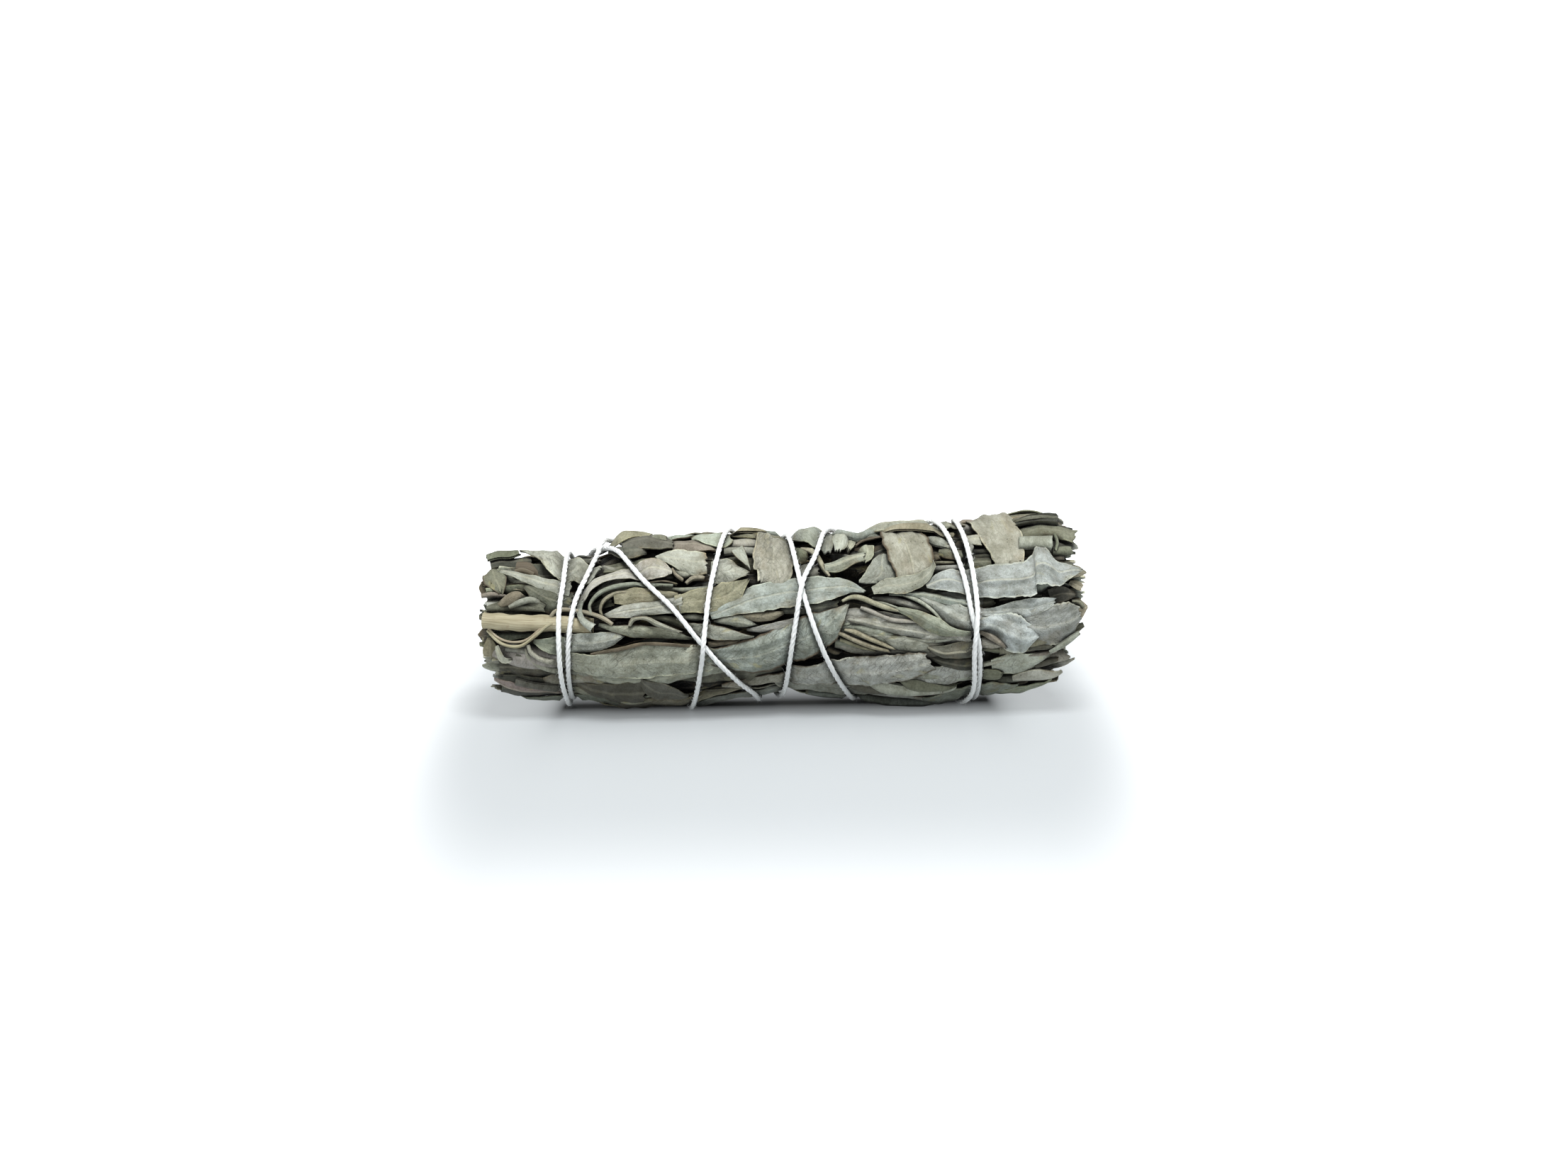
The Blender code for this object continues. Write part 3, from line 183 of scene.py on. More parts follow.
frontLeaves = (
    ("dome", 3, "dim", (-44.9, 22.0, 0.2), (-43.5, 21.0, 0.9), (-42.0, 19.9, 1.5), (-40.5, 19.0, 1.9),
     (-36.5, 18.2, 1.7)),
    ("knot", 3, "dim", (-51.3, 17.6, 0.3), (-49.0, 17.9, 0.7), (-47.0, 18.1, 0.9), (-45.0, 18.2, 0.9),
     (-43.0, 17.9, 0.8), (-41.0, 17.3, 0.5)),
    ("knot", 4, "tan", (-49.6, 18.0, 0.3), (-47.6, 18.8, 0.7), (-45.6, 19.5, 0.8), (-44.4, 19.6, 0.3)),
    ("roll", 4, "sage", (-47.4, 17.6, 0.3), (-45.6, 18.4, 0.5), (-43.6, 18.9, 0.5), (-41.8, 18.3, 0.3)),
    ("cup", 5, "pale", (-49.5, 10.9, 0.3), (-49.1, 9.6, 0.5), (-48.5, 8.6, 0.5), (-46.9, 8.3, 0.2)),
    ("roll", 3, "grey", (-48.2, 10.1, 0.6), (-46.0, 10.0, 0.7), (-44.3, 9.3, 0.5)),
    ("roll", 3, "dark", (-47.6, 8.8, 0.35), (-46.0, 8.9, 0.4), (-44.0, 8.3, 0.3)),
    ("cup", 4, "sage", (-43.3, 11.4, 0.3), (-41.5, 11.0, 0.9), (-39.2, 10.6, 1.5), (-36.5, 10.3, 1.2)),
    ("roll", 4, "beige", (-44.2, 10.9, 0.3), (-43.8, 9.6, 0.4), (-42.6, 8.6, 0.4), (-41.0, 8.0, 0.5),
     (-38.5, 7.4, 0.5)),
    ("roll", 3, "sage", (-44.7, 10.2, 0.3), (-44.0, 8.3, 0.5), (-42.5, 7.1, 0.5), (-41.0, 6.4, 0.5),
     (-38.5, 5.7, 0.5)),
    ("flat", 2, "tan", (-51.0, 12.0, 0.3), (-50.9, 10.3, 0.9), (-50.9, 8.8, 0.9), (-50.7, 7.3, 0.4)),
    ("flat", 2, "dark", (-49.3, 6.3, 1.3), (-45.0, 6.3, 1.6), (-38.0, 5.2, 1.1)),
    ("flat", 1, "olive", (-34.3, 17.1, 0.15), (-32.0, 18.0, 0.6), (-29.5, 19.0, 0.8)),
    ("dome", 2, "olive", (-31.3, 20.0, 0.3), (-28.0, 21.0, 0.6), (-24.0, 21.2, 0.6), (-21.0, 20.9, 0.5),
     (-18.0, 20.4, 0.3)),
    ("flat", 3, "tan", (-29.2, 19.0, 0.8), (-26.0, 19.2, 1.25), (-22.5, 19.3, 1.0), (-17.8, 19.4, 0.3)),
    ("roll", 5, "pale", (-34.8, 18.6, 0.5), (-35.2, 16.6, 0.5), (-34.5, 14.9, 0.6), (-32.6, 13.5, 0.8)),
    ("fold", 4, "pale", (-31.2, 15.8, 0.2), (-27.0, 16.5, 1.1), (-22.0, 17.1, 1.1), (-17.0, 17.9, 1.7)),
    ("flat", 4, "tan", (-18.5, 17.6, 1.3), (-15.0, 18.1, 1.9), (-12.0, 18.4, 2.0), (-9.0, 19.3, 1.9),
     (-7.0, 20.9, 0.9), (-5.6, 22.2, 0.1)),
    ("roll", 2, "sage", (-20.2, 20.9, 0.15), (-17.0, 20.4, 0.5), (-12.5, 20.6, 0.5)),
    ("fold", 5, "sage", (-26.5, 13.9, 0.3), (-26.0, 14.9, 0.45), (-25.0, 15.2, 0.3), (-23.5, 15.1, 0.4),
     (-22.0, 14.3, 0.5), (-20.5, 13.7, 0.4), (-17.5, 12.6, 0.2)),
    ("dome", 2, "olive", (-23.0, 15.5, 0.15), (-20.0, 15.0, 0.5), (-18.0, 14.2, 0.6), (-15.5, 12.6, 0.2)),
    ("dome", 3, "sage", (-32.0, 14.2, 0.3), (-29.0, 13.3, 0.6), (-26.0, 12.9, 1.0), (-22.0, 12.5, 0.9),
     (-19.0, 12.1, 0.7), (-15.5, 11.1, 0.2)),
    ("dome", 3, "blue", (-38.0, 10.9, 1.4), (-34.0, 11.0, 1.4), (-31.0, 11.3, 1.25), (-29.0, 11.8, 0.85),
     (-27.5, 12.2, 0.3)),
    ("dome", 5, "pale", (-39.0, 7.8, 1.2), (-36.0, 7.7, 1.6), (-31.0, 7.2, 2.2), (-26.0, 7.6, 2.9),
     (-21.0, 7.9, 3.0), (-16.0, 7.8, 2.6), (-12.0, 7.7, 1.8), (-11.3, 7.6, 1.0)),
    ("knot", 6, "brown", (-33.3, 9.3, 0.15), (-30.0, 9.9, 0.25), (-27.2, 10.35, 0.3), (-24.5, 10.9, 0.25),
     (-22.0, 10.95, 0.25), (-18.0, 10.6, 0.25), (-14.6, 10.1, 0.2)),
    ("roll", 2, "sage", (-38.0, 5.7, 0.5), (-35.0, 5.0, 0.6), (-31.0, 4.6, 0.3)),
    ("roll", 4, "sage", (-18.9, 21.0, 0.2), (-22.0, 21.1, 0.3), (-26.0, 21.3, 0.35), (-29.5, 20.8, 0.35),
     (-32.0, 19.6, 0.35), (-33.4, 17.6, 0.3), (-33.0, 15.6, 0.3)),
    ("roll", 3, "tan", (-24.0, 20.0, 0.2), (-28.5, 20.0, 0.3), (-30.8, 18.8, 0.35), (-31.6, 17.0, 0.3),
     (-31.2, 15.4, 0.25)),
    ("fold", 3, "sage", (-36.0, 4.6, 0.5), (-31.0, 4.2, 0.9), (-26.0, 3.9, 1.0), (-20.0, 4.6, 1.1),
     (-14.0, 5.9, 1.2), (-8.0, 6.4, 1.0), (-4.0, 6.2, 0.5)),
    ("dome", 2.0, "pale", (8.0, 14.8, 0.8), (13.0, 14.6, 1.4), (18.0, 13.4, 1.6), (23.0, 12.0, 1.7),
     (29.0, 11.0, 1.4), (33.0, 10.6, 1.0)),
    ("dome", 2.0, "sage", (8.0, 11.6, 0.9), (13.0, 11.2, 1.5), (18.0, 10.4, 1.5), (23.0, 9.4, 1.4),
     (28.0, 8.8, 1.0)),
    ("dome", 2.4, "sage", (9.0, 9.6, 0.5), (13.0, 8.9, 0.9), (18.0, 8.6, 1.0), (24.0, 8.0, 0.9),
     (28.0, 7.4, 0.6)),
    ("roll", 4, "tan", (9.6, 12.0, 0.35), (12.5, 10.6, 0.4), (15.5, 9.4, 0.4), (18.5, 8.6, 0.3)),
    ("fold", 3, "blue", (18.5, 18.9, 0.2), (22.5, 18.8, 0.5), (26.0, 18.2, 0.6), (30.0, 17.2, 0.7),
     (34.0, 16.6, 0.6)),
    ("dome", 4, "blue", (-14.0, 8.5, 0.8), (-10.0, 7.9, 1.9), (-5.0, 8.3, 2.6), (0.0, 9.9, 3.0),
     (4.0, 11.4, 3.1), (7.0, 13.0, 2.9), (9.5, 15.2, 1.5), (11.4, 17.2, 0.2)),
    ("dome", 3, "sage", (-12.0, 14.4, 0.15), (-9.5, 14.5, 0.7), (-7.0, 14.2, 0.9), (-4.2, 13.4, 0.05)),
    ("dome", 3, "tan", (-7.5, 15.4, 0.1), (-4.5, 15.2, 0.9), (-2.0, 15.3, 0.8), (0.3, 15.8, 0.3)),
    ("dome", 2, "sage", (-18.0, 15.2, 0.1), (-16.0, 15.3, 0.5), (-13.6, 15.0, 0.35)),
    ("dome", 4, "sage", (-17.3, 14.1, 0.2), (-14.0, 12.9, 1.1), (-11.0, 12.3, 1.1), (-8.0, 11.8, 0.7),
     (-5.0, 11.4, 0.15)),
    ("knot", 3, "brown", (-13.0, 10.3, 0.4), (-10.0, 10.5, 0.4), (-7.5, 10.7, 0.15)),
    ("dome", 3, "grey", (-6.3, 12.6, 0.2), (-3.0, 12.9, 0.6), (0.0, 13.4, 0.7), (2.5, 14.1, 0.6),
     (4.8, 14.6, 0.3)),
    ("flat", 2, "grey", (-1.0, 16.0, 0.3), (3.0, 16.2, 0.6), (6.0, 16.5, 0.9), (9.8, 17.0, 0.7)),
    ("fold", 4, "blue", (-12.5, 15.4, 0.6), (-9.0, 16.7, 1.2), (-5.0, 18.2, 2.2), (0.0, 19.1, 2.3),
     (4.0, 19.6, 2.4), (8.0, 20.0, 2.0), (11.5, 20.1, 1.1), (14.4, 19.3, 0.2)),
    ("roll", 2, "tan", (7.3, 9.7, 0.4), (8.7, 10.9, 0.6), (10.2, 12.4, 0.15)),
    ("roll", 2, "sage", (9.8, 13.4, 0.4), (11.0, 13.4, 0.45), (12.1, 13.8, 0.1)),
    ("roll", 2, "brown", (7.6, 8.8, 0.5), (9.0, 8.0, 0.4), (10.3, 7.8, 0.1)),
    ("roll", 4, "straw", (10.3, 17.6, 0.25), (11.8, 18.3, 0.35), (13.5, 18.2, 0.45), (16.0, 17.1, 0.45),
     (18.0, 16.3, 0.45), (20.2, 15.6, 0.2)),
    ("roll", 3, "beige", (13.5, 16.5, 0.3), (15.0, 15.9, 0.45), (17.0, 14.9, 0.45), (19.0, 14.1, 0.45),
     (21.5, 13.8, 0.4), (23.8, 13.6, 0.2)),
    ("fold", 3, "grey", (11.2, 14.4, 0.2), (14.0, 13.9, 0.6), (17.0, 13.1, 0.7), (20.0, 12.6, 1.0),
     (23.0, 12.0, 1.1), (25.5, 11.4, 0.9), (28.0, 10.9, 0.3)),
    ("roll", 2, "sage", (20.0, 11.2, 0.15), (23.0, 10.4, 0.4), (26.0, 10.0, 0.45), (29.0, 10.2, 0.3),
     (31.5, 10.7, 0.15)),
    ("roll", 4, "straw", (10.6, 12.5, 0.2), (12.5, 12.0, 0.45), (14.5, 11.0, 0.4), (17.0, 9.9, 0.35),
     (19.8, 8.6, 0.15)),
    ("dome", 3, "sage", (14.0, 11.3, 0.2), (17.0, 10.6, 0.8), (20.0, 9.8, 1.2), (23.0, 9.1, 1.1),
     (25.5, 8.6, 0.6)),
    ("dome", 2.6, "sage", (9.5, 12.8, 0.6), (12.5, 12.3, 1.0), (16.0, 11.6, 1.1), (20.0, 10.6, 0.7)),
    ("dome", 2.4, "grey", (9.0, 10.0, 0.5), (12.0, 9.6, 0.8), (15.0, 9.0, 0.9), (19.0, 8.4, 0.5)),
    ("roll", 3, "tan", (9.8, 10.7, 0.4), (11.5, 10.1, 0.45), (13.5, 9.3, 0.4), (16.0, 8.5, 0.2)),
    ("roll", 2, "olive", (9.0, 10.2, 0.3), (10.3, 9.2, 0.35), (12.3, 8.4, 0.2)),
    ("dome", 2, "grey", (15.5, 18.1, 0.3), (18.5, 17.9, 0.5), (21.5, 17.1, 0.5), (24.0, 16.1, 0.45),
     (26.0, 15.3, 0.3)),
    ("roll", 3, "sage", (15.0, 17.7, 0.2), (17.5, 17.1, 0.3), (20.0, 16.2, 0.25)),
    ("roll", 3, "beige", (20.8, 18.6, 0.15), (23.0, 17.8, 0.35), (25.0, 16.5, 0.35), (26.6, 14.9, 0.3),
     (27.9, 12.9, 0.3)),
    ("fold", 4, "sage", (19.5, 16.1, 0.3), (22.0, 15.3, 0.7), (24.5, 14.0, 1.2), (27.0, 12.6, 1.3),
     (29.5, 11.7, 0.7), (32.5, 11.4, 0.4)),
    ("flat", 2, "grey", (24.0, 18.8, 0.15), (27.5, 18.3, 0.6), (31.0, 17.9, 0.9), (35.0, 17.3, 0.9)),
    ("smooth", 3, "blue", (23.2, 18.6, 0.15), (26.0, 17.3, 0.9), (28.5, 15.7, 1.6), (31.0, 14.1, 1.9),
     (34.5, 13.4, 1.8)),
    ("flat", 1, "olive", (33.3, 17.2, 0.6), (35.0, 16.9, 0.7), (37.0, 17.2, 0.5)),
    ("roll", 5, "pink", (33.9, 11.6, 0.35), (35.5, 11.1, 0.5), (37.2, 10.1, 0.45), (38.6, 8.7, 0.2)),
    ("dome", 3, "beige", (34.3, 9.6, 0.8), (36.5, 9.2, 0.6), (38.0, 8.6, 0.2)),
    ("flat", 2, "tan", (49.8, 20.4, 0.3), (51.0, 19.8, 0.6), (52.1, 19.1, 0.5)),
    ("roll", 1, "olive", (50.2, 16.6, 0.4), (51.5, 16.4, 0.5), (52.3, 15.2, 0.3)),
    ("roll", 4, "grey", (46.0, 7.9, 0.3), (48.3, 9.2, 0.45), (49.8, 10.2, 0.45), (51.3, 11.2, 0.3)),
    ("roll", 3, "dark", (42.5, 8.4, 0.4), (45.0, 8.6, 0.5), (47.5, 8.7, 0.3)),
    ("roll", 3, "pink", (41.0, 7.1, 0.2), (45.0, 7.4, 0.3), (47.6, 8.1, 0.4)),
    ("dome", 2, "olive", (34.5, 8.1, 0.3), (38.5, 7.8, 0.6), (42.0, 7.8, 0.6), (44.5, 8.5, 0.6)),
    ("dome", 3, "pale", (36.0, 5.2, 1.0), (40.0, 5.6, 1.6), (43.0, 6.2, 1.1), (46.5, 7.0, 0.4)),
    ("roll", 3, "beige", (34.6, 5.5, 0.3), (38.3, 6.4, 0.25)),
    ("roll", 3, "dark", (43.5, 5.0, 0.3), (46.0, 5.9, 0.45), (47.6, 6.2, 0.25)),
    ("fold", 3.6, "dim", (25.0, 9.0, 0.2), (27.5, 8.3, 0.8), (30.5, 8.4, 1.2), (34.0, 8.5, 1.2)),
    ("dome", 3, "deep", (25.2, 6.9, 0.2), (28.0, 6.2, 0.6), (31.0, 5.7, 0.9), (34.5, 5.4, 0.9)),
)
# the dark, dim and deep tones here are partly painted shade on the underside
lowLeaves = (
    ("dome", 2, "olive", (-25.0, 4.6, 0.1), (-20.0, 4.4, 0.8), (-15.0, 4.4, 1.2), (-11.0, 4.6, 1.6),
     (-8.0, 4.2, 1.2), (0.0, 4.5, 0.8)),
    ("dome", 4, "dark", (-36.0, 3.7, 0.2), (-33.0, 2.8, 0.9), (-29.0, 2.0, 1.6), (-24.0, 2.0, 1.7)),
    ("flat", 4, "dim", (-25.1, 4.2, 0.2), (-22.0, 2.3, 1.4), (-19.0, 1.6, 0.9), (-16.5, 1.0, 0.2)),
    ("dome", 3, "deep", (-48.8, 3.4, 1.3), (-46.0, 3.1, 1.6), (-43.0, 2.6, 1.5), (-39.0, 2.4, 1.0)),
    ("roll", 4, "dim", (-46.5, 4.4, 0.5), (-43.0, 3.6, 0.4), (-38.5, 3.0, 0.5)),
    ("roll", 3, "dim", (11.0, 2.5, 0.5), (13.5, 1.8, 0.7), (17.0, 1.3, 0.6), (21.0, 1.0, 0.5)),
    ("roll", 4, "pale", (14.5, 2.8, 0.3), (17.0, 2.2, 0.8), (20.0, 1.7, 0.8), (25.0, 1.5, 0.6),
     (30.0, 1.5, 0.3)),
    ("roll", 4, "olive", (20.0, 3.0, 0.15), (22.5, 2.5, 0.9), (25.0, 2.2, 0.7), (30.0, 1.8, 0.15)),
    ("dome", 3, "pale", (22.8, 3.7, 0.1), (25.5, 3.8, 0.8), (28.5, 3.4, 0.7), (34.0, 3.6, 0.5)),
    ("dome", 4, "pale", (39.5, 3.2, 0.4), (43.5, 3.9, 0.9), (46.0, 3.9, 0.6), (48.4, 4.0, 0.25)),
    ("roll", 2, "dark", (34.5, 2.0, 0.3), (39.0, 2.4, 0.5), (45.0, 3.0, 0.3)),
    ("dome", 4, "olive", (34.3, 3.9, 0.7), (36.6, 3.9, 0.8), (38.0, 3.6, 0.3)),
)

# Broad or torn leaves: kind, layer, tone, then one edge and the other, as along and up
topPlates = (
    ("dome", 5.8, "pale",
     ((-45.3, 26.9), (-42.3, 27.3), (-39.8, 27.1), (-37.3, 26.5), (-34.2, 25.1), (-30.9, 24.1)),
     ((-44.9, 26.7), (-42.6, 25.9), (-41.3, 24.6), (-39.6, 22.9), (-37.2, 22.0), (-33.0, 21.6))),
    ("flat", 2.2, "olive",
     ((-30.3, 25.3), (-27.1, 26.0), (-22.0, 26.7)),
     ((-31.0, 23.8), (-26.1, 24.4), (-21.3, 25.2))),
    ("fold", 4.2, "pale",
     ((-21.9, 26.1), (-20.0, 26.9), (-16.9, 27.1), (-12.9, 26.8)),
     ((-21.4, 25.5), (-19.0, 24.3), (-15.9, 23.0), (-12.8, 23.0))),
    ("dome", 3.2, "pale",
     ((-12.2, 25.5), (-9.3, 26.0), (-7.5, 24.5), (-5.6, 23.2)),
     ((-12.5, 21.7), (-10.3, 21.4), (-7.8, 22.0), (-5.7, 22.7))),
    ("flat", 3.4, "grey",
     ((16.8, 26.1), (15.6, 25.0), (14.4, 22.7), (12.8, 21.0)),
     ((18.2, 26.0), (19.0, 24.4), (19.8, 22.1), (17.9, 20.4))),
    ("valley", 4.2, "beige",
     ((16.9, 30.1), (17.1, 29.2), (17.4, 28.2), (18.0, 26.2), (18.8, 24.0), (20.2, 21.0)),
     ((22.6, 30.0), (24.3, 29.2), (25.3, 28.2), (26.0, 26.0), (26.4, 23.8), (26.0, 21.2))),
    ("flat", 5.3, "sage",
     ((15.4, 19.8), (17.9, 21.2), (20.4, 21.6), (23.5, 22.1), (25.4, 23.0), (26.4, 24.4)),
     ((15.8, 18.5), (18.4, 18.7), (20.9, 18.6), (23.5, 19.5), (25.6, 21.0), (26.7, 23.4))),
    ("smooth", 4.0, "beige",
     ((33.0, 35.0), (31.3, 33.9), (31.0, 32.6), (32.2, 31.3), (33.1, 30.4), (34.4, 28.4), (35.9, 25.9),
      (37.0, 23.4)),
     ((33.8, 35.1), (36.6, 34.6), (38.4, 33.7), (39.3, 32.5), (40.6, 30.8), (41.6, 28.8), (41.95, 26.2),
      (41.8, 23.5))),
    ("cup", 2.6, "deep",
     ((38.8, 32.0), (41.2, 32.4), (43.8, 32.65), (47.6, 32.55)),
     ((39.5, 31.2), (41.8, 31.7), (44.3, 31.4), (47.8, 31.0))),
    ("dome", 3.0, "olive",
     ((40.9, 30.3), (43.3, 31.0), (45.3, 31.1), (48.3, 30.5), (51.1, 30.0)),
     ((41.7, 28.4), (44.3, 28.9), (46.8, 28.6), (48.9, 28.0), (50.8, 27.5))),
)
frontPlates = (
    ("fold", 5.2, "blue",
     ((24.8, 20.3), (27.5, 22.4), (30.6, 22.8), (33.6, 23.0), (36.7, 23.5), (39.7, 23.5), (41.7, 23.8),
      (43.0, 24.7), (43.8, 26.2), (44.9, 26.7), (46.1, 25.7), (47.3, 23.8), (49.4, 23.2), (51.9, 22.3)),
     ((25.0, 19.6), (27.5, 19.1), (30.6, 18.6), (33.6, 17.9), (36.7, 17.6), (39.7, 17.7), (41.9, 17.8),
      (43.9, 18.0), (43.8, 19.6), (45.3, 19.8), (46.8, 19.4), (48.3, 19.7), (50.1, 21.0), (51.8, 22.0))),
    ("smooth", 4.3, "frost",
     ((34.0, 14.5), (36.7, 14.8), (40.2, 14.9), (42.2, 13.4), (44.5, 11.5)),
     ((34.0, 11.8), (36.2, 11.0), (38.4, 8.4), (41.5, 8.1), (44.2, 10.7))),
    ("dome", 3.3, "grey",
     ((41.5, 14.3), (44.3, 15.8), (46.8, 16.3), (49.4, 16.6), (51.5, 15.7)),
     ((42.6, 11.3), (44.6, 8.8), (46.8, 9.0), (49.4, 9.8), (51.7, 13.3))),
    ("flat", 3.4, "blue",
     ((33.8, 15.8), (36.7, 16.0), (39.7, 16.9), (43.3, 17.5), (47.3, 17.5)),
     ((34.0, 14.5), (37.2, 14.6), (40.2, 14.5), (42.2, 13.8), (47.3, 16.2))),
    ("flat", 1.6, "dark",
     ((46.0, 19.0), (48.3, 19.7), (51.2, 18.3)), ((46.8, 16.2), (48.9, 16.7), (51.2, 17.8))),
    ("dome", 4.8, "pale",
     ((0.8, 6.2), (6.2, 6.7), (11.3, 7.7), (17.4, 8.0), (21.4, 8.2), (24.6, 8.1)),
     ((0.8, 3.4), (6.2, 3.2), (11.3, 2.9), (17.4, 3.0), (22.4, 3.7), (26.2, 5.3))),
    ("dome", 3.2, "pale",
     ((22.4, 4.6), (26.5, 5.4), (30.0, 6.2), (34.5, 6.7)),
     ((18.4, 3.1), (25.5, 1.7), (30.0, 2.6), (34.5, 3.9))),
)

# Places where the under leaves and the core lie deep, so their painted depth shade leaves a dark hollow:
# along, up, reach, reach, depth
hollows = (
    (-43.2, 23.9, 3.6, 2.0, 4.5), (-46.6, 21.4, 2.2, 1.3, 4.0), (-43.7, 16.9, 4.2, 0.8, 4.0),
    (-46.6, 12.2, 3.2, 1.0, 4.0), (-50.8, 18.8, 1.6, 0.8, 4.0), (-27.4, 11.3, 1.2, 0.7, 3.0),
    (-27.3, 15.4, 1.8, 0.6, 3.0), (-32.4, 19.4, 1.4, 1.0, 3.0), (-17.8, 22.3, 2.8, 0.8, 3.0),
    (-9.0, 21.6, 2.4, 0.7, 3.0), (11.8, 22.7, 3.2, 1.4, 4.0), (42.6, 28.9, 2.4, 0.9, 4.0),
    (43.6, 30.9, 2.8, 0.8, 3.5), (48.0, 18.8, 2.6, 0.9, 4.0), (33.2, 6.0, 0.6, 2.6, 3.0),
    (3.0, 25.4, 1.6, 0.9, 3.0), (9.0, 26.0, 1.4, 1.0, 3.0), (35.0, 26.6, 1.8, 1.2, 2.5),
)

# Round stems and stalks that show: radius, tone, then along, up and depth below the outside
topStalks = (
    (1.15, "wood", (-45.7, 25.3, 1.2), (-43.9, 25.2, 1.3), (-42.3, 25.0, 2.8), (-38.0, 24.4, 5.0)),
    (0.55, "brown", (-46.1, 24.4, 1.0), (-44.9, 24.5, 0.8), (-43.2, 24.3, 1.6)),
    (0.26, "brown", (-26.2, 28.4, 0.6), (-25.0, 29.2, 0.3), (-23.0, 28.3, 0.3), (-21.5, 28.0, 0.5)),
    (0.22, "brown", (12.8, 27.8, 0.8), (14.0, 28.3, 0.5), (16.0, 28.8, 0.5), (17.2, 29.2, 0.7)),
)
frontStalks = (
    (1.42, "stalk", (-51.9, 15.4, 1.5), (-46.0, 14.8, 1.3), (-40.0, 14.6, 1.5), (-33.0, 13.8, 2.2)),
    (0.27, "stalk", (-51.3, 13.4, 1.6), (-50.0, 12.1, 0.6), (-48.5, 11.1, 0.2), (-46.5, 10.65, 0.1),
     (-45.0, 10.95, 0.1), (-43.5, 12.0, 0.1), (-42.0, 13.2, 0.1), (-40.8, 14.2, 0.2), (-39.0, 15.0, 0.8)),
    (0.2, "tan", (-51.2, 13.9, 1.6), (-49.8, 12.5, 0.7), (-48.3, 11.7, 0.4), (-46.5, 11.4, 0.3),
     (-44.9, 11.6, 0.3), (-43.5, 12.4, 0.3), (-42.2, 13.5, 0.3), (-40.5, 14.6, 0.5)),
    (0.35, "tan", (-40.2, 15.9, 0.8), (-39.4, 16.8, 0.3), (-38.3, 17.1, 0.3), (-36.5, 17.0, 0.8),
     (-34.5, 16.6, 0.6), (-32.5, 16.0, 0.4), (-31.0, 15.3, 0.4), (-29.5, 14.2, 0.8)),
)

# Where one leafy stem meets the next on the front, as seen from there
topEdge = (
    (-53.0, 19.4), (-49.3, 19.6), (-43.8, 21.7), (-37.1, 21.4), (-29.8, 22.1), (-17.5, 21.3),
    (-11.4, 21.1), (-5.1, 22.3), (2.0, 21.4), (8.1, 22.0), (14.5, 18.7), (21.6, 18.4),
    (25.5, 20.7), (30.0, 23.0), (36.2, 23.3), (41.7, 23.7), (53.0, 23.9),
)
lowEdge = (
    (-53.0, 4.6), (-40.0, 4.0), (-30.0, 4.4), (-14.0, 3.2), (0.0, 3.0), (15.0, 3.0),
    (22.0, 3.6), (32.0, 4.2), (40.0, 4.0), (53.0, 5.5),
)

# The cotton string: its plies, how it lies on the leaves, its knot and the way it was wound
string = {
    "diameter": 0.88,
    "strandRadius": 0.285,
    "plies": 3,
    "strandSides": 6,
    "uneven": ((0.05, 2.3), (0.04, 5.1)),
    "lay": 3.4,  # length of one twist
    "step": 0.32,
    "stepRadius": 14.5,
    "aboveFloor": 0.06,
    "rise": 0.0,
    "crossing": 1.25,  # how far a later turn stands off where it crosses an earlier one
    "crossingReach": 3.0,
    "crossingShares": (0.7, 0.3),
    "pressed": 0.62,  # how deep it presses the leaves in, and how they bulge beside it
    "bulge": 0.55,
    "bulgeFrom": 0.35,
    "bulgePower": 1.5,
    "slopeStep": 0.02,
    "knotPlace": -38.6,
    "knotAngle": 165.0,
    "knotRise": 0.35,
    "knotMargin": 0.08,  # how far before the knot the winding stops, as an angle
    "knotStep": 0.3,
    # one end's way through the knot and out as a tail: ahead, beside, above
    "knot": (
        (-1.0, 0.0, 0.1), (0.2, 0.5, 0.5), (0.9, 0.9, 0.2), (1.3, 0.2, -0.1),
        (0.8, -0.6, 0.3), (-0.6, -0.9, 0.8), (-2.2, -1.8, 0.5), (-4.6, -3.0, 0.2),
    ),
    # the guessed way over the back: where it is led, from where and over how many degrees
    "turnAngles": (-95.0, -130.0, -165.0, -200.0, -235.0),
    "turnStart": -70.0,
    "turnRange": 200.0,
    "lastTurn": 355.0,  # the last turn ends this far below the knot's angle
    # the passes down the front, in the order wound, as seen from there
    "passes": (
        ((-30.5, 27.7), (-25.0, 23.0), (-19.0, 16.8), (-14.0, 10.3), (-8.0, 4.0), (-5.0, 1.6)),
        ((0.7, 29.6), (2.3, 25.0), (3.4, 20.0), (4.8, 15.0), (6.5, 10.0), (10.9, 1.7)),
        ((26.6, 31.0), (29.5, 27.0), (31.6, 21.0), (32.7, 15.0), (33.9, 9.0), (33.6, 2.2)),
        ((30.0, 31.3), (31.9, 27.0), (33.1, 21.0), (33.6, 15.0), (33.0, 9.0), (32.4, 1.8)),
        ((8.4, 30.2), (6.0, 26.0), (3.5, 20.5), (2.2, 14.0), (1.0, 7.0), (-0.3, 1.7)),
        ((-9.3, 30.1), (-11.0, 26.0), (-12.7, 19.0), (-13.5, 13.0), (-14.3, 6.5), (-15.5, 0.8)),
        ((-30.9, 27.6), (-33.0, 24.2), (-35.8, 18.5), (-37.0, 13.0), (-37.3, 7.0), (-36.9, 2.1)),
        ((-36.7, 27.0), (-37.8, 22.0), (-38.6, 17.0), (-38.8, 12.0), (-38.5, 6.0), (-37.5, 2.0)),
    ),
}


def profileAt(along):
    # height of the axis and radius, for one place or many
    axis = np.interp(along, profileTable[:, 0], profileTable[:, 1])
    radius = np.interp(along, profileTable[:, 0], profileTable[:, 2])
    return axis, radius


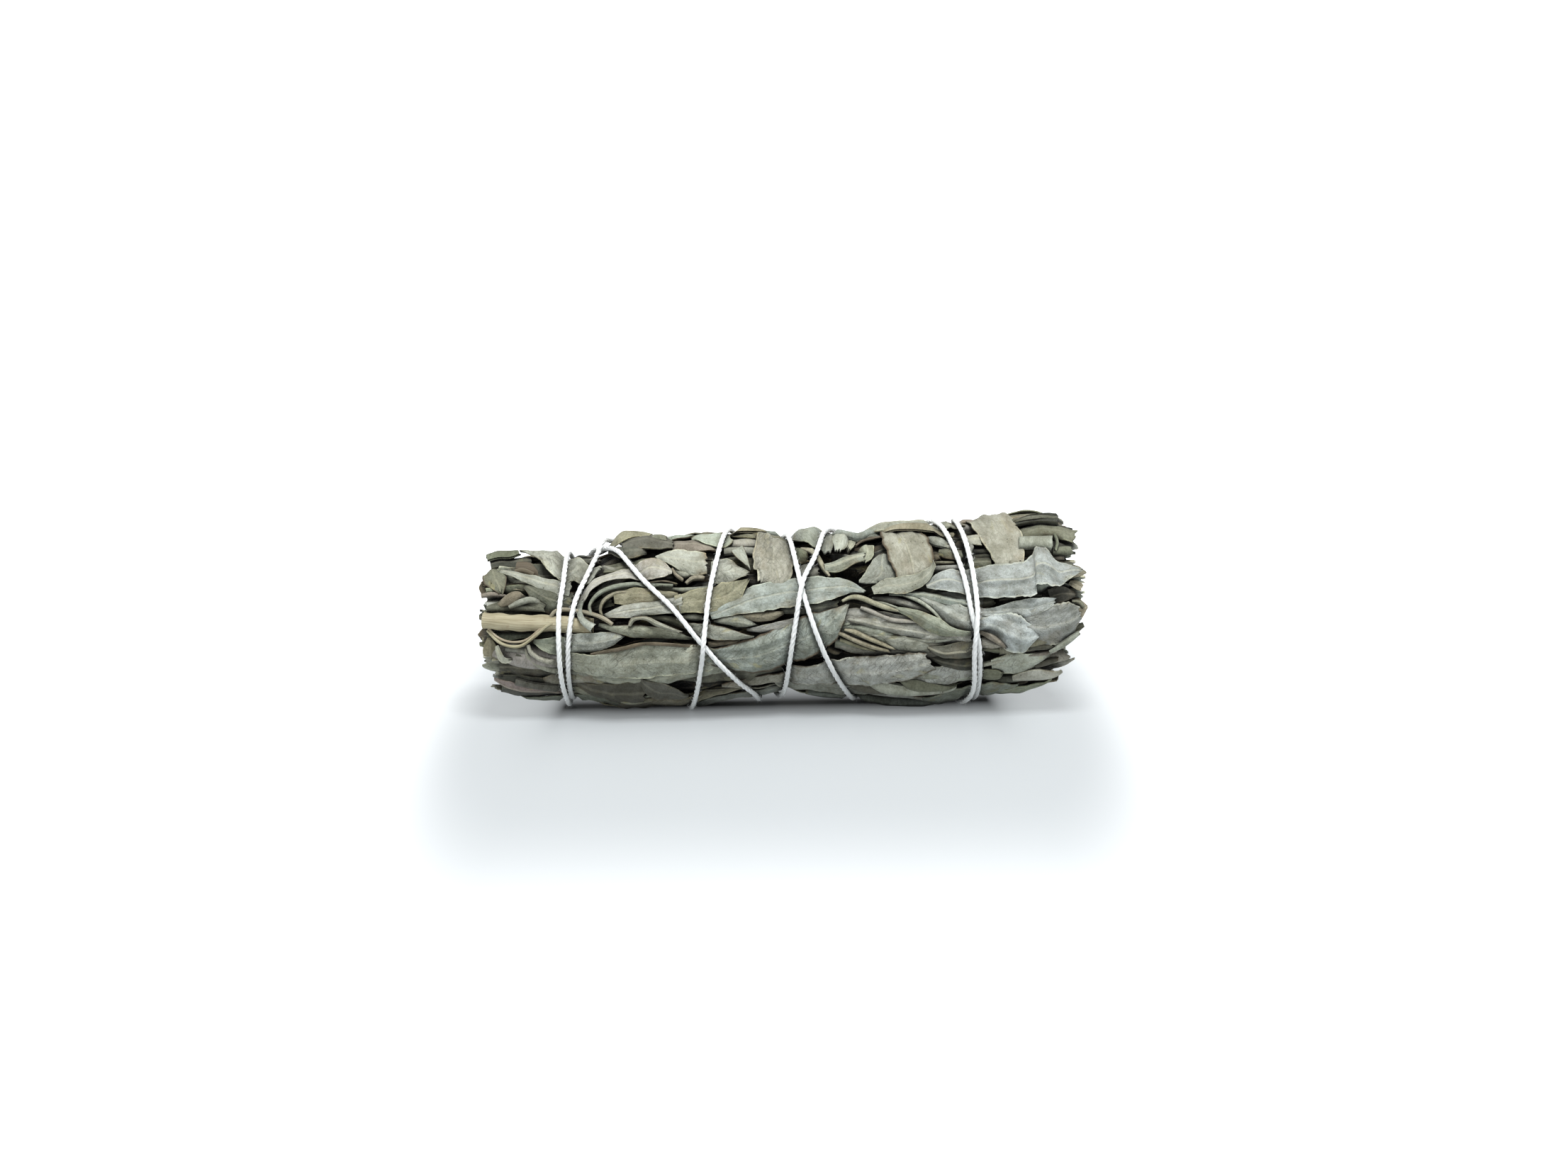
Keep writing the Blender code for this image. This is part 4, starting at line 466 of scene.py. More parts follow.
def onBundle(across, up):
    # place along the bundle and angle round it of what is seen from the front
    along = np.array(across, float)
    height = np.array(up, float)
    tilt = reading["tilt"]
    limit = reading["reach"]
    middle, level = reading["centre"]
    for _ in range(reading["rounds"]):
        axis, radius = profileAt(along)
        reach = (height - axis * math.cos(tilt)) / radius
        held = np.clip(reach, -limit, limit)
        angle = tilt + np.arcsin(held) + (reach - held) * reading["wrap"]
        near = 1.0 - radius * np.cos(angle - tilt) / reading["distance"]
        along = middle + (across - middle) * near
        height = level + (up - level) * near
    return along, angle


def degreesRound(angle):
    # from the front, upwards, between -180 and 180
    return (math.degrees(angle) + 180.0) % 360.0 - 180.0


def endReach(end, angle):
    # how far the tips reach at one end
    return float(np.interp(degreesRound(angle), *zip(*endReaches[end])))


def onRound(along, angle, radius):
    # points in millimetres at a radius from the bundle's axis; angle 0 is the front
    axis = profileAt(along)[0]
    return np.stack((along + 0.0 * angle, -radius * np.cos(angle), axis + radius * np.sin(angle)), axis=-1)


def atAngle(angle, scale=1.0):
    # lays a flat leaf along the bundle at an angle round it
    return lambda place, aside: (place, angle + aside * scale / profileAt(place)[1])


def smoothThrough(knots, values, places):
    # a smooth curve through values at rising knots
    slopes = np.empty_like(values)
    slopes[1:-1] = (values[2:] - values[:-2]) / (knots[2:] - knots[:-2])
    slopes[0] = (values[1] - values[0]) / (knots[1] - knots[0])
    slopes[-1] = (values[-1] - values[-2]) / (knots[-1] - knots[-2])
    spot = np.clip(np.searchsorted(knots, places, side="right") - 1, 0, len(knots) - 2)
    width = knots[spot + 1] - knots[spot]
    share = (places - knots[spot]) / width
    curve = (2 * share ** 3 - 3 * share ** 2 + 1) * values[spot]
    curve += (3 * share ** 2 - 2 * share ** 3) * values[spot + 1]
    curve += (share ** 3 - 2 * share ** 2 + share) * width * slopes[spot]
    return curve + (share ** 3 - share ** 2) * width * slopes[spot + 1]


def smoothLine(knots, points, places):
    # the same through points
    return np.stack([smoothThrough(knots, column, places) for column in points.T], axis=-1)


def runAlong(points):
    # length run at each point of a line
    steps = np.diff(points, axis=0)
    lengths = np.hypot(*steps.T) if steps.shape[1] == 2 else np.linalg.norm(steps, axis=1)
    return np.concatenate(([0.0], np.cumsum(lengths)))


def carriedFrame(path, outward):
    # heading, outward and aside at each point of a path, carried along it without a twist
    heading = np.gradient(path, axis=0)
    heading /= np.linalg.norm(heading, axis=1)[:, None]
    outwards = np.empty_like(path)
    for number, ahead in enumerate(heading):
        outward = outward - ahead * outward.dot(ahead)
        outward = outward / np.linalg.norm(outward)
        outwards[number] = outward
    return heading, outwards, np.cross(heading, outwards)


def edgeAngle(edge, along):
    places, angles = onBundle(*np.array(edge).T)
    return float(np.interp(along, places, angles))


def wavyEdge(mean, size, length, phase):
    return lambda along: math.radians(mean + size * math.sin(along / length + phase))


# Where each leafy stem ends and the next begins, as an angle round the bundle
edges = {
    "low": lambda along: edgeAngle(lowEdge, along),
    "top": lambda along: edgeAngle(topEdge, along),
    "ridge": wavyEdge(118.0, 6.0, 9.0, 0.5),
    "back": wavyEdge(196.0, 7.0, 11.0, 2.0),
    "under": wavyEdge(258.0, 5.0, 8.0, 4.0),
}


def sectorAt(first, last, along):
    # the angles from one edge of a leafy stem round to its other
    start = edges[first](along)
    stop = edges[last](along)
    while stop < start:
        stop += math.tau
    return start, stop


def inSector(angle, along, first, last):
    start = edges[first](along)
    return (angle - start) % math.tau <= (edges[last](along) - start) % math.tau


def stringCourse():
    # place along the bundle against the angle wound, from knot to knot
    passes = string["passes"]
    final = len(passes) - 1
    wound = [-math.radians(string["knotAngle"])]
    along = [string["knotPlace"]]
    for number, front in enumerate(passes):
        places, angles = onBundle(*np.array(front).T)
        wound += list(math.tau * number - angles)
        along += list(places)
        following = string["knotPlace"]
        if number < final:
            following = float(onBundle(*passes[number + 1][0])[0])
        for turn in string["turnAngles"]:
            if number == final and turn < string["knotAngle"] - string["lastTurn"]:
                break
            share = (string["turnStart"] - turn) / string["turnRange"]
            wound.append(math.tau * number - math.radians(turn))
            along.append(places[-1] + (following - places[-1]) * share)
    wound.append(math.tau * len(passes) - math.radians(string["knotAngle"]))
    along.append(string["knotPlace"])
    return np.array(wound), np.array(along)


# The string's course comes first, because the leaves are pressed in under it
courseWound, courseAlong = stringCourse()


def stringPlace(wound):
    return smoothThrough(courseWound, courseAlong, wound)


def stringRadius(wound):
    # how far out the string runs: a later turn rises over an earlier one
    here = stringPlace(wound)
    rise = np.full_like(wound, string["rise"])
    over, under = string["crossingShares"]
    turns = len(string["passes"])
    for turn in range(-turns, turns + 1):
        other = wound + turn * math.tau
        inside = (other >= courseWound[0]) & (other <= courseWound[-1])
        if turn == 0 or not inside.any():
            continue
        apart = np.abs(stringPlace(np.clip(other, courseWound[0], courseWound[-1])) - here)
        near = np.clip(1.0 - (apart / string["crossingReach"]) ** 2, 0.0, 1.0) ** 2 * string["crossing"]
        rise += np.where(inside, near * (over if turn < 0 else -under), 0.0)
    return profileAt(here)[1] + rise


def underString(along, angle, radius):
    # leaves are pressed in below the string, and bulge again beside it
    first, last = courseWound[0], courseWound[-1]
    step = string["slopeStep"]
    for turn in range(len(string["passes"]) + 1):
        wound = math.tau * turn - angle
        inside = (wound >= first) & (wound <= last)
        if not inside.any():
            continue
        held = np.clip(wound, first, last)
        here = stringPlace(held)
        slope = (stringPlace(held + step) - here) / (step * bundle["meanRadius"])
        apart = np.abs(along - here) / np.sqrt(1.0 + slope ** 2)
        bulge = string["bulge"] * np.clip(apart - string["bulgeFrom"], 0.0, 9.0) ** string["bulgePower"]
        roof = profileAt(along)[1] + string["rise"] - string["pressed"] + bulge
        radius = np.where(inside, np.minimum(radius, roof), radius)
    return radius


def addObject(name, data):
    thing = bpy.data.objects.new(name, data)
    bpy.context.scene.collection.objects.link(thing)
    return thing


class MeshMaker:
    # gathers sheets and rods, then makes one mesh of them

    def __init__(self):
        self.rows = {"points": [], "faces": [], "colours": [], "places": [], "traits": []}
        self.count = 0

    def keep(self, **rows):
        for label, values in rows.items():
            self.rows[label].append(values)
        self.count += len(rows["points"])

    def addGrid(self, outer, inner, colour, place, trait):
        # a closed sheet from its two faces, each a grid of points
        rows, columns = outer.shape[:2]
        size = rows * columns
        index = np.arange(size).reshape(rows, columns) + self.count
        quads = np.stack((index[:-1, :-1], index[:-1, 1:], index[1:, 1:], index[1:, :-1]), axis=-1)
        quads = quads.reshape(-1, 4)
        rim = np.concatenate((index[0, :-1], index[:-1, -1], index[-1, :0:-1], index[:0:-1, 0]))
        following = np.roll(rim, -1)
        side = np.stack((following, rim, rim + size, following + size), axis=-1)
        self.keep(points=np.concatenate((outer.reshape(-1, 3), inner.reshape(-1, 3))),
                  faces=np.concatenate((quads, quads[:, ::-1] + size, side)),
                  colours=np.tile(colour.reshape(-1, 4), (2, 1)),
                  places=np.tile(place.reshape(-1, 3), (2, 1)),
                  traits=np.tile(trait.reshape(-1, 3), (2, 1)))

    def addRod(self, path, radii, sides, colour, seed, wobble=0.0):
        # a rod round a path, with a colour of its own
        path = np.asarray(path, float)
        count = len(path)
        index = np.arange(count * sides).reshape(count, sides) + self.count
        after = np.roll(index, -1, axis=1)
        quads = np.stack((index[:-1], after[:-1], after[1:], index[1:]), axis=-1).reshape(-1, 4)
        caps = [ring[[0, side, side + 1, side + 2]] for ring in (index[0, ::-1], index[-1])
                for side in range(1, sides - 2, 2)]
        run = np.repeat(runAlong(path), sides) + seed
        around = np.tile(np.arange(sides) * (math.tau * np.mean(radii) / sides), count)
        self.keep(points=rodRings(path, radii, sides, wobble, seed).reshape(-1, 3),
                  faces=np.vstack([quads, *caps]),
                  colours=np.tile(np.asarray(colour, float), (count * sides, 1)),
                  places=np.stack((run, around, np.zeros(count * sides)), axis=-1),
                  traits=np.zeros((count * sides, 3)))

    def build(self, name, material, sharpest=50.0):
        whole = {label: np.concatenate(values) for label, values in self.rows.items()}
        mesh = bpy.data.meshes.new(name)
        mesh.from_pydata((whole["points"] * mm).tolist(), [], whole["faces"].tolist())
        # the vertex colour holds each part's own colour with the painted shade of depth multiplied in
        colour = mesh.color_attributes.new("leafColour", "FLOAT_COLOR", "POINT")
        colour.data.foreach_set("color", whole["colours"].astype(np.float32).ravel())
        for label, rows in (("leafPlace", whole["places"]), ("leafTrait", whole["traits"])):
            values = mesh.attributes.new(label, "FLOAT_VECTOR", "POINT")
            values.data.foreach_set("vector", rows.astype(np.float32).ravel())
        mesh.polygons.foreach_set("use_smooth", [True] * len(mesh.polygons))
        mesh.update()
        mesh.materials.append(material)
        mesh.set_sharp_from_angle(angle=math.radians(sharpest))
        return addObject(name, mesh)


def rodRings(path, radii, sides, wobble, seed):
    dice = np.random.default_rng(int(seed * 10) + 5)
    uneven = 1.0 + wobble * dice.uniform(-1.0, 1.0, sides)
    _, outward, aside = carriedFrame(path, np.array((0.0, 0.13, 1.0)))
    turns = (np.arange(sides) * math.tau / sides)[None, :, None]
    reach = np.broadcast_to(np.asarray(radii, float), (len(path),))[:, None] * uneven
    spokes = np.cos(turns) * outward[:, None, :] + np.sin(turns) * aside[:, None, :]
    return path[:, None, :] + reach[..., None] * spokes


def toneColour(tone, dice, spread=0.05, browning=0.5):
    # linear colour with a little chance in it; the last value says how much it browns
    shade = 1.0 + dice.uniform(-spread, spread) * toneChance["light"]
    colour = []
    for value in leafTones[tone]:
        level = value / 255.0 * (1.0 + dice.uniform(-spread, spread) * toneChance["hue"])
        colour.append(min(max(level, 0.0), 1.0) ** toneGamma * shade)
    return (*colour, browning)


leafShape = {
    "rowStep": 0.55,
    "rows": (9, 46),
    "columnsPerWidth": 6.0,
    "columns": (6, 18),
    "plateStep": 0.45,
    "plateRows": (12, 64),
    "plateColumns": (7, 20),
    "ragged": 0.03,
    "slimmest": 0.06,
    "tightBend": 3.0,  # a kind bent more than this stays so, however wide
    "easyHalf": 0.95,
    "pleats": ((3.4, 1.0), (1.7, 0.75)),  # width, share
    "waves": ((8.0, 1.3), (3.2, 0.6)),  # length, share
    "drift": 0.12,  # how far the pleats may run askew
    "pleatHalf": 1.5,  # a leaf narrower than this is pleated less
    "lopsided": 0.16,
    "lopsidedHalf": 2.5,
    "jag": (-1.0, 0.15),
    "plateJag": (-0.5, 0.2),
    "narrowEnd": 0.4,  # a narrow end tucks in under its neighbour
    "tuckLength": 0.18,
    "tuckDepth": 0.45,
    "stationWidening": 0.1,  # a leaf seen under others is widened, as they cover its edges
    "lift": 0.07,  # keeps neighbours in one layer apart
}

# How a leaf browns, is painted darker as shade where it lies deep, and shows its veins
leafTint = {
    "shadePower": 0.7,
    "endPower": 0.6,
    "brownTip": 0.12,
    "tipBrowning": 0.35,
    "browning": (0.45, 0.55),  # all over, and more at the edges
    "ribs": (0.5, 1.0),
    "netHalf": 1.4,
    "bareHalf": 2.0,  # leaves narrower than this may have no net of veins
    "bareChance": (1.2, 1.5),
    "barest": 0.75,
}


def within(value, limits, fineness=1.0):
    return int(min(max(value, limits[0]), limits[1]) * fineness)


def leafSection(kind, across, widest):
    # sideways and outward shares of a bent section; a wide leaf is bent less
    ease = 1.0
    if abs(kind["bend"]) <= leafShape["tightBend"]:
        ease = min(1.0, leafShape["easyHalf"] / widest)
    bend = kind["bend"] * ease
    turn = across * bend / 2.0
    sideways = np.sin(turn) / (bend / 2.0)
    outward = (1.0 - np.cos(turn)) / abs(bend / 2.0) * np.sign(bend)
    reach = np.max(np.abs(sideways))
    return sideways / reach, outward / reach + kind["vee"] * ease * np.abs(across)


def raggedEdge(count, dice, size):
    # a softly scalloped edge with a few nicks
    step = np.arange(count)
    edge = 1.0 + size * np.sin(step * dice.uniform(0.9, 1.5) + dice.uniform(0.0, 6.0))
    return edge + np.array([dice.uniform(-size, size) for _ in step])


def raggedWidth(count, across, dice, size):
    # how much the two edges widen or narrow the leaf at each of its points
    left = raggedEdge(count, dice, size)
    right = raggedEdge(count, dice, size)
    edge = np.where(across[None, :] < 0.0, left[:, None], right[:, None])
    return 1.0 + (edge - 1.0) * np.abs(across)[None, :] ** 3


def jaggedTip(across, share, dice, shortest, longest, torn=1.0):
    # a torn tip: how far each column runs on, over the last quarter of the leaf
    jag = np.array([dice.uniform(shortest, longest) for _ in across]) * torn
    return jag[None, :] * np.clip(share * 4.0 - 3.0, 0.0, 1.0)[:, None]


def crownedRise(kind, half, outward, share):
    rise = half[:, None] * outward[None, :]
    rise = rise - rise.min(axis=1, keepdims=True) * 0.5
    return rise + kind["arch"] * np.sin(math.pi * share)[:, None]


def ripples(along, across, dice, size):
    # long soft pleats, and slow waves over a dried leaf
    field = np.zeros_like(along)
    for width, share in leafShape["pleats"]:
        drift = dice.uniform(-leafShape["drift"], leafShape["drift"])
        phase = dice.uniform(0.0, math.tau)
        field += share * np.sin(across * math.tau / width + along * drift + phase)
    for length, share in leafShape["waves"]:
        heading = dice.uniform(-1.0, 1.0)
        phase = dice.uniform(0.0, math.tau)
        flow = along * math.cos(heading) + across * math.sin(heading)
        field += share * np.sin(flow * math.tau / length + phase)
    return field * size


def addLeaf(maker, kindName, layer, colour, middle, mapping, dice, ragged=leafShape["ragged"], torn=0.0,
            hollowed=True, fineness=1.0):
    # one leaf as a bent sheet; middle is a smooth row of place, place, half width
    kind = leafKinds[kindName]
    knots = runAlong(middle[:, :2])
    length = knots[-1]
    count = within(length / leafShape["rowStep"], leafShape["rows"], fineness)
    run = np.linspace(0.0, length, count)
    share = run / length
    line = smoothLine(knots, middle, run)
    half = np.maximum(line[:, 2], leafShape["slimmest"])
    widest = float(np.max(half))
    heading = np.gradient(line[:, :2], axis=0)
    heading /= np.linalg.norm(heading, axis=1)[:, None]
    columns = within(widest * leafShape["columnsPerWidth"], leafShape["columns"], fineness) | 1
    across = np.linspace(-1.0, 1.0, columns)
    sideways, outward = leafSection(kind, across, widest)
    reach = half[:, None] * sideways[None, :] * raggedWidth(count, across, dice, ragged)
    ahead = jaggedTip(across, share, dice, *leafShape["jag"], torn)
    first = line[:, 0][:, None] - heading[:, 1][:, None] * reach + heading[:, 0][:, None] * ahead
    second = line[:, 1][:, None] + heading[:, 0][:, None] * reach + heading[:, 1][:, None] * ahead
    along, angle = mapping(first, second)
    lean = dice.uniform(-leafShape["lopsided"], leafShape["lopsided"])
    rise = crownedRise(kind, half, outward, share)
    rise = rise + lean * np.minimum(half, leafShape["lopsidedHalf"])[:, None] * across[None, :]
    for end, way in ((0, share), (-1, 1.0 - share)):
        if half[end] < leafShape["narrowEnd"] * widest:
            tuck = np.clip(1.0 - way / leafShape["tuckLength"], 0.0, 1.0) ** 2
            rise = rise - leafShape["tuckDepth"] * tuck[:, None]
    sheet = {"across": across, "run": np.broadcast_to(run[:, None], rise.shape), "share": share,
             "aside": half[:, None] * across[None, :], "widest": widest}
    pleat = kind["pleat"] * min(1.0, widest / leafShape["pleatHalf"])
    rise = rise + ripples(sheet["run"], sheet["aside"], dice, pleat)
    laySheet(maker, sheet, along, angle, layer, rise, kind, colour, dice, hollowed)


def addPlate(maker, kindName, layer, colour, firstEdge, secondEdge, dice):
    # a broad leaf between two edges
    kind = leafKinds[kindName]
    middle = (firstEdge + secondEdge) / 2.0
    knots = np.arange(len(middle), dtype=float)
    count = within(runAlong(middle)[-1] / leafShape["plateStep"], leafShape["plateRows"])
    steps = np.linspace(0.0, knots[-1], count)
    share = steps / knots[-1]
    first, second = (smoothLine(knots, edge, steps) for edge in (firstEdge, secondEdge))
    half = np.hypot(*(first - second).T) / 2.0
    widest = float(np.max(half))
    columns = within(widest * leafShape["columnsPerWidth"], leafShape["plateColumns"]) | 1
    across = np.linspace(-1.0, 1.0, columns)
    spread = across[None, :] * raggedWidth(count, across, dice, leafShape["ragged"])
    grid = second[:, None, :] + (first - second)[:, None, :] * (spread[..., None] + 1.0) / 2.0
    jag = np.array([dice.uniform(*leafShape["plateJag"]) for _ in across])
    grid[-1, :, 0] += jag * np.sign(middle[-1, 0] - middle[-2, 0])
    rise = crownedRise(kind, half, leafSection(kind, across, widest)[1], share)
    run = runAlong((first + second) / 2.0)
    sheet = {"across": across, "run": np.broadcast_to(run[:, None], rise.shape), "share": share,
             "aside": half[:, None] * across[None, :], "widest": widest}
    rise = rise + ripples(sheet["run"], sheet["aside"], dice, kind["pleat"])
    along, angle = onBundle(grid[..., 0], grid[..., 1])
    laySheet(maker, sheet, along, angle, layer, rise, kind, colour, dice, False)


hollowShape = {"steepest": 0.3, "rim": 1.3, "power": 0.7}


def pressHollows(along, angle, radius):
    # the under leaves sink away in the hollows
    for middle, up, reachAlong, reachUp, depth in hollows:
        place, turn = onBundle(np.array(middle), np.array(up))
        facing = max(math.cos(float(turn) - reading["tilt"]), hollowShape["steepest"])
        width = reachUp / profileAt(place)[1] / facing
        apart = ((along - place) / reachAlong) ** 2 + ((angle - turn) / width) ** 2
        radius = radius - depth * np.clip(hollowShape["rim"] - apart, 0.0, 1.0) ** hollowShape["power"]
    return radius


def laySheet(maker, sheet, along, angle, layer, rise, kind, colour, dice, hollowed):
    # both faces of a leaf on the bundle; what lies deep gets painted shade in its colour
    across = sheet["across"]
    outside = profileAt(along)[1]
    radius = outside - bundle["layerDepth"] + bundle["layerHeight"] * layer + rise
    if hollowed:
        radius = pressHollows(along, angle, radius)
    radius = underString(along, angle, radius)
    thickness = bundle["leafThickness"] * (1.0 - bundle["thinEdge"] * np.abs(across)[None, :] ** 4)
    faces = [onRound(along, angle, radius), onRound(along, angle, radius - thickness)]
    for grid in faces:
        grid[..., 2] = np.maximum(grid[..., 2], bundle["aboveFloor"])
    # painted shade: how deep the leaf lies below the outside, faded out near the ends
    depth = np.clip((outside - radius - bundle["shadeFrom"]) / bundle["shadeDepth"], 0.0, 1.0)
    fromEnd = np.clip((bundle["endPlace"] - np.abs(along)) / bundle["endShade"], 0.0, 1.0)
    tintSheet(maker, faces, depth * fromEnd ** leafTint["endPower"], sheet, kind, colour, dice)


def tintSheet(maker, faces, depth, sheet, kind, colour, dice):
    # a leaf's colour with painted shade by depth, and what its veins and edges need to know
    edgeShare = np.broadcast_to(np.abs(sheet["across"])[None, :], depth.shape)
    place = np.stack((sheet["run"] + dice.uniform(0.0, 90.0), sheet["aside"], edgeShare), axis=-1)
    tint = np.broadcast_to(np.asarray(colour), (*depth.shape, 4)).copy()
    # painted shade: a leaf lying deeper is coloured darker
    tint[..., :3] *= (1.0 - bundle["deepestPaintedShade"] * depth ** leafTint["shadePower"])[..., None]
    share = sheet["share"]
    tip = leafTint["brownTip"]
    tipShare = np.clip(1.0 - share / tip, 0.0, 1.0)
    tipShare = np.maximum(tipShare, np.clip((share - (1.0 - tip)) / tip, 0.0, 1.0))
    overall, edging = leafTint["browning"]
    tint[..., 3] = colour[3] * (overall + edging * edgeShare ** 3)
    tint[..., 3] += leafTint["tipBrowning"] * tipShare[:, None]
    trait = np.empty((*depth.shape, 3))
    trait[..., 0] = kind["rib"] * dice.uniform(*leafTint["ribs"])
    chance = dice.random()
    bare = 0.0
    if sheet["widest"] <= leafTint["bareHalf"]:
        most, fall = leafTint["bareChance"]
        bare = leafTint["barest"] * min(max(most - fall * chance, 0.0), 1.0)
    trait[..., 1] = min(sheet["widest"] / leafTint["netHalf"], 1.0) * kind["net"] * (1.0 - bare)
    trait[..., 2] = chance
    maker.addGrid(*faces, tint, place, trait)


def addSeenLeaves(maker, leaves, dice):
    for number, leaf in enumerate(leaves):
        kind, layer, tone = leaf[:3]
        stations = np.array(leaf[3:])
        if kind != "roll":
            stations[:, 2] *= 1.0 + leafShape["stationWidening"] * max(5 - layer, 0)
        layer += leafShape["lift"] * (number % 5)
        colour = toneColour(tone, dice)
        addLeaf(maker, kind, layer, colour, stations, onBundle, dice, torn=0.5, hollowed=False)


stalkShape = {"step": 0.5, "sides": 14, "waist": 0.06, "waistRate": 1.7, "browning": 0.35, "uneven": 0.05}


def addStalks(maker, stalks):
    for number, stalk in enumerate(stalks):
        radius, tone = stalk[:2]
        spots = np.array(stalk[2:])
        knots = runAlong(spots[:, :2])
        run = np.linspace(0.0, knots[-1], int(knots[-1] / stalkShape["step"]) + 4)
        across, up, depth = smoothLine(knots, spots, run).T
        along, angle = onBundle(across, up)
        path = onRound(along, angle, underString(along, angle, profileAt(along)[1] - depth))
        colour = toneColour(tone, random.Random(number), browning=stalkShape["browning"])
        radii = radius * (1.0 - stalkShape["waist"] * np.sin(run * stalkShape["waistRate"]))
        maker.addRod(path, radii, stalkShape["sides"], colour, number * 7.0, stalkShape["uneven"])


# Leaves over the sides that the front view doesn't show, and the ones behind those it does, dimmed by
# painted shade
hidden = {
    "rows": 40,
    "columns": 8,
    "start": -46.0,
    "pitch": 13.0,
    "stagger": 4.4,
    "scatter": 3.0,
    "turnScatter": 4.0,
    "lengths": (13.0, 26.0),
    "shortest": 6.0,
    "halves": (1.2, 3.3),
    "rollHalf": 0.8,
    "slopes": (-0.25, 0.25),
    "bends": (-1.6, 1.6),
    "layers": (0.0, 4.6),
    # places down a leaf, how wide it is there, and how much wider where its tip is blunt
    "shares": (0.0, 0.12, 0.35, 0.65, 0.88, 1.0),
    "widths": (0.25, 0.7, 1.0, 0.95, 0.6, 0.08),
    "bluntWidths": (0.0, 0.0, 0.0, 0.0, 0.3, 1.0),
    "blunt": (-0.5, 0.75),
    "forward": 0.7,  # the share of leaves whose tips point to the right
    "spread": 0.08,
    "browning": 0.6,
    "ragged": 0.05,
    "torn": 1.6,
    "shift": (-1.2, 1.2),
    "tones": ("sage", "grey", "pale", "sage", "beige", "blue", "olive", "tan", "sage", "pink"),
    "kinds": ("flat", "dome", "fold", "dome", "cup", "roll", "valley", "fold"),
    "shownFrom": -45.0,
    "shownTo": 92.0,
    # under leaves take darker tones, partly painted shade
    "underTones": ("sage", "olive", "grey", "tan", "dark"),
    "underKinds": ("flat", "dome", "fold"),
    "underHalf": 1.7,
    "underLayer": -0.9,
    "underShare": 0.28,
    "underFineness": 0.55,  # they show little, so they have fewer points
}


def addHiddenLeaves(maker, first, last, seed):
    dice = random.Random(seed)
    shares = np.array(hidden["shares"])
    for row in range(hidden["rows"]):
        for column in range(hidden["columns"]):
            along = hidden["start"] + hidden["pitch"] * column + (row % 3) * hidden["stagger"]
            along += dice.uniform(-hidden["scatter"], hidden["scatter"])
            turn = dice.uniform(-hidden["turnScatter"], hidden["turnScatter"])
            angle = math.radians(row * 360.0 / hidden["rows"] + turn)
            ranges = ("lengths", "halves", "slopes", "bends", "layers")
            length, half, slope, bend, layer = (dice.uniform(*hidden[label]) for label in ranges)
            tone = dice.choice(hidden["tones"])
            kind = dice.choice(hidden["kinds"])
            if not inSector(angle, along, first, last):
                continue
            shown = hidden["shownFrom"] < degreesRound(angle) < hidden["shownTo"]
            if shown:
                layer = hidden["underLayer"] + hidden["underShare"] * layer
                half = max(half, hidden["underHalf"])
                tone = dice.choice(hidden["underTones"])
                kind = dice.choice(hidden["underKinds"])
            side = 1 if along > 0.0 else -1
            length = min(length, 2.0 * (endReach(side, angle) - abs(along)))
            if length < hidden["shortest"]:
                continue
            uneven = random.Random(row * 31 + column)
            blunt = 0.0 if shown else max(uneven.uniform(*hidden["blunt"]), 0.0)
            widths = (np.array(hidden["widths"]) + blunt * np.array(hidden["bluntWidths"])) * half
            along += 0.0 if shown else uneven.uniform(*hidden["shift"])
            if kind == "roll":
                widths = np.minimum(widths, hidden["rollHalf"])
            run = (shares - 0.5) * length * (1 if dice.random() < hidden["forward"] else -1)
            middle = np.stack((run + along, slope * run + bend * np.sin(math.pi * shares), widths), axis=-1)
            colour = toneColour(tone, dice, hidden["spread"], hidden["browning"])
            addLeaf(maker, kind, layer, colour, middle, atAngle(angle), dice, hidden["ragged"],
                    hidden["torn"] * blunt, fineness=hidden["underFineness"] if shown else 1.0)


# Leaves between the layers, which show only at the bundle's two ends
between = {
    "place": 46.0,
    "rings": ((2.2, 6), (3.8, 5)),  # depth, how many
    "run": (36.0, 41.0, 45.0),
    "widths": (0.9, 1.0, 1.0),
    "aside": (0.0, 0.3, 0.7, 1.0),
    "lean": (-1.5, 1.5),
    "scatter": (0.2, 0.8),
    "back": (0.0, 3.5),  # how far a tip stays back
    "backDeeper": 0.1,
    "halves": (1.2, 2.8),
    "slimmerDeeper": 0.045,
    "tipWidths": (0.35, 0.9),
    "leastRadius": 2.5,
    "ragged": 0.06,
    "torn": 1.6,
    "tones": ("sage", "olive", "sage", "dark", "tan", "grey"),
    "kinds": ("flat", "dome", "cup", "roll", "fold"),
}


def addEndLeaves(maker, first, last, seed):
    dice = random.Random(seed + 50)
    for end in (-1, 1):
        outside = profileAt(between["place"] * end)[1]
        start, stop = sectorAt(first, last, end * between["place"])
        for depth, count in between["rings"]:
            scale = outside / max(outside - depth, between["leastRadius"])
            layer = (bundle["layerDepth"] - depth) / bundle["layerHeight"]
            for place in range(count):
                angle = start + (stop - start) * (place + dice.uniform(*between["scatter"])) / count
                tip = endReach(end, angle) - dice.uniform(*between["back"]) - between["backDeeper"] * depth
                half = dice.uniform(*between["halves"]) * (1.0 - between["slimmerDeeper"] * depth)
                aside = np.array(between["aside"]) * dice.uniform(*between["lean"])
                widths = np.array((*between["widths"], dice.uniform(*between["tipWidths"]))) * half
                middle = np.stack((np.array((*between["run"], tip)) * end, aside, widths), axis=-1)
                tone = dice.choice(between["tones"])
                kind = dice.choice(between["kinds"])
                addLeaf(maker, kind, layer, toneColour(tone, dice, hidden["spread"]), middle,
                        atAngle(angle, scale), dice, between["ragged"], between["torn"])


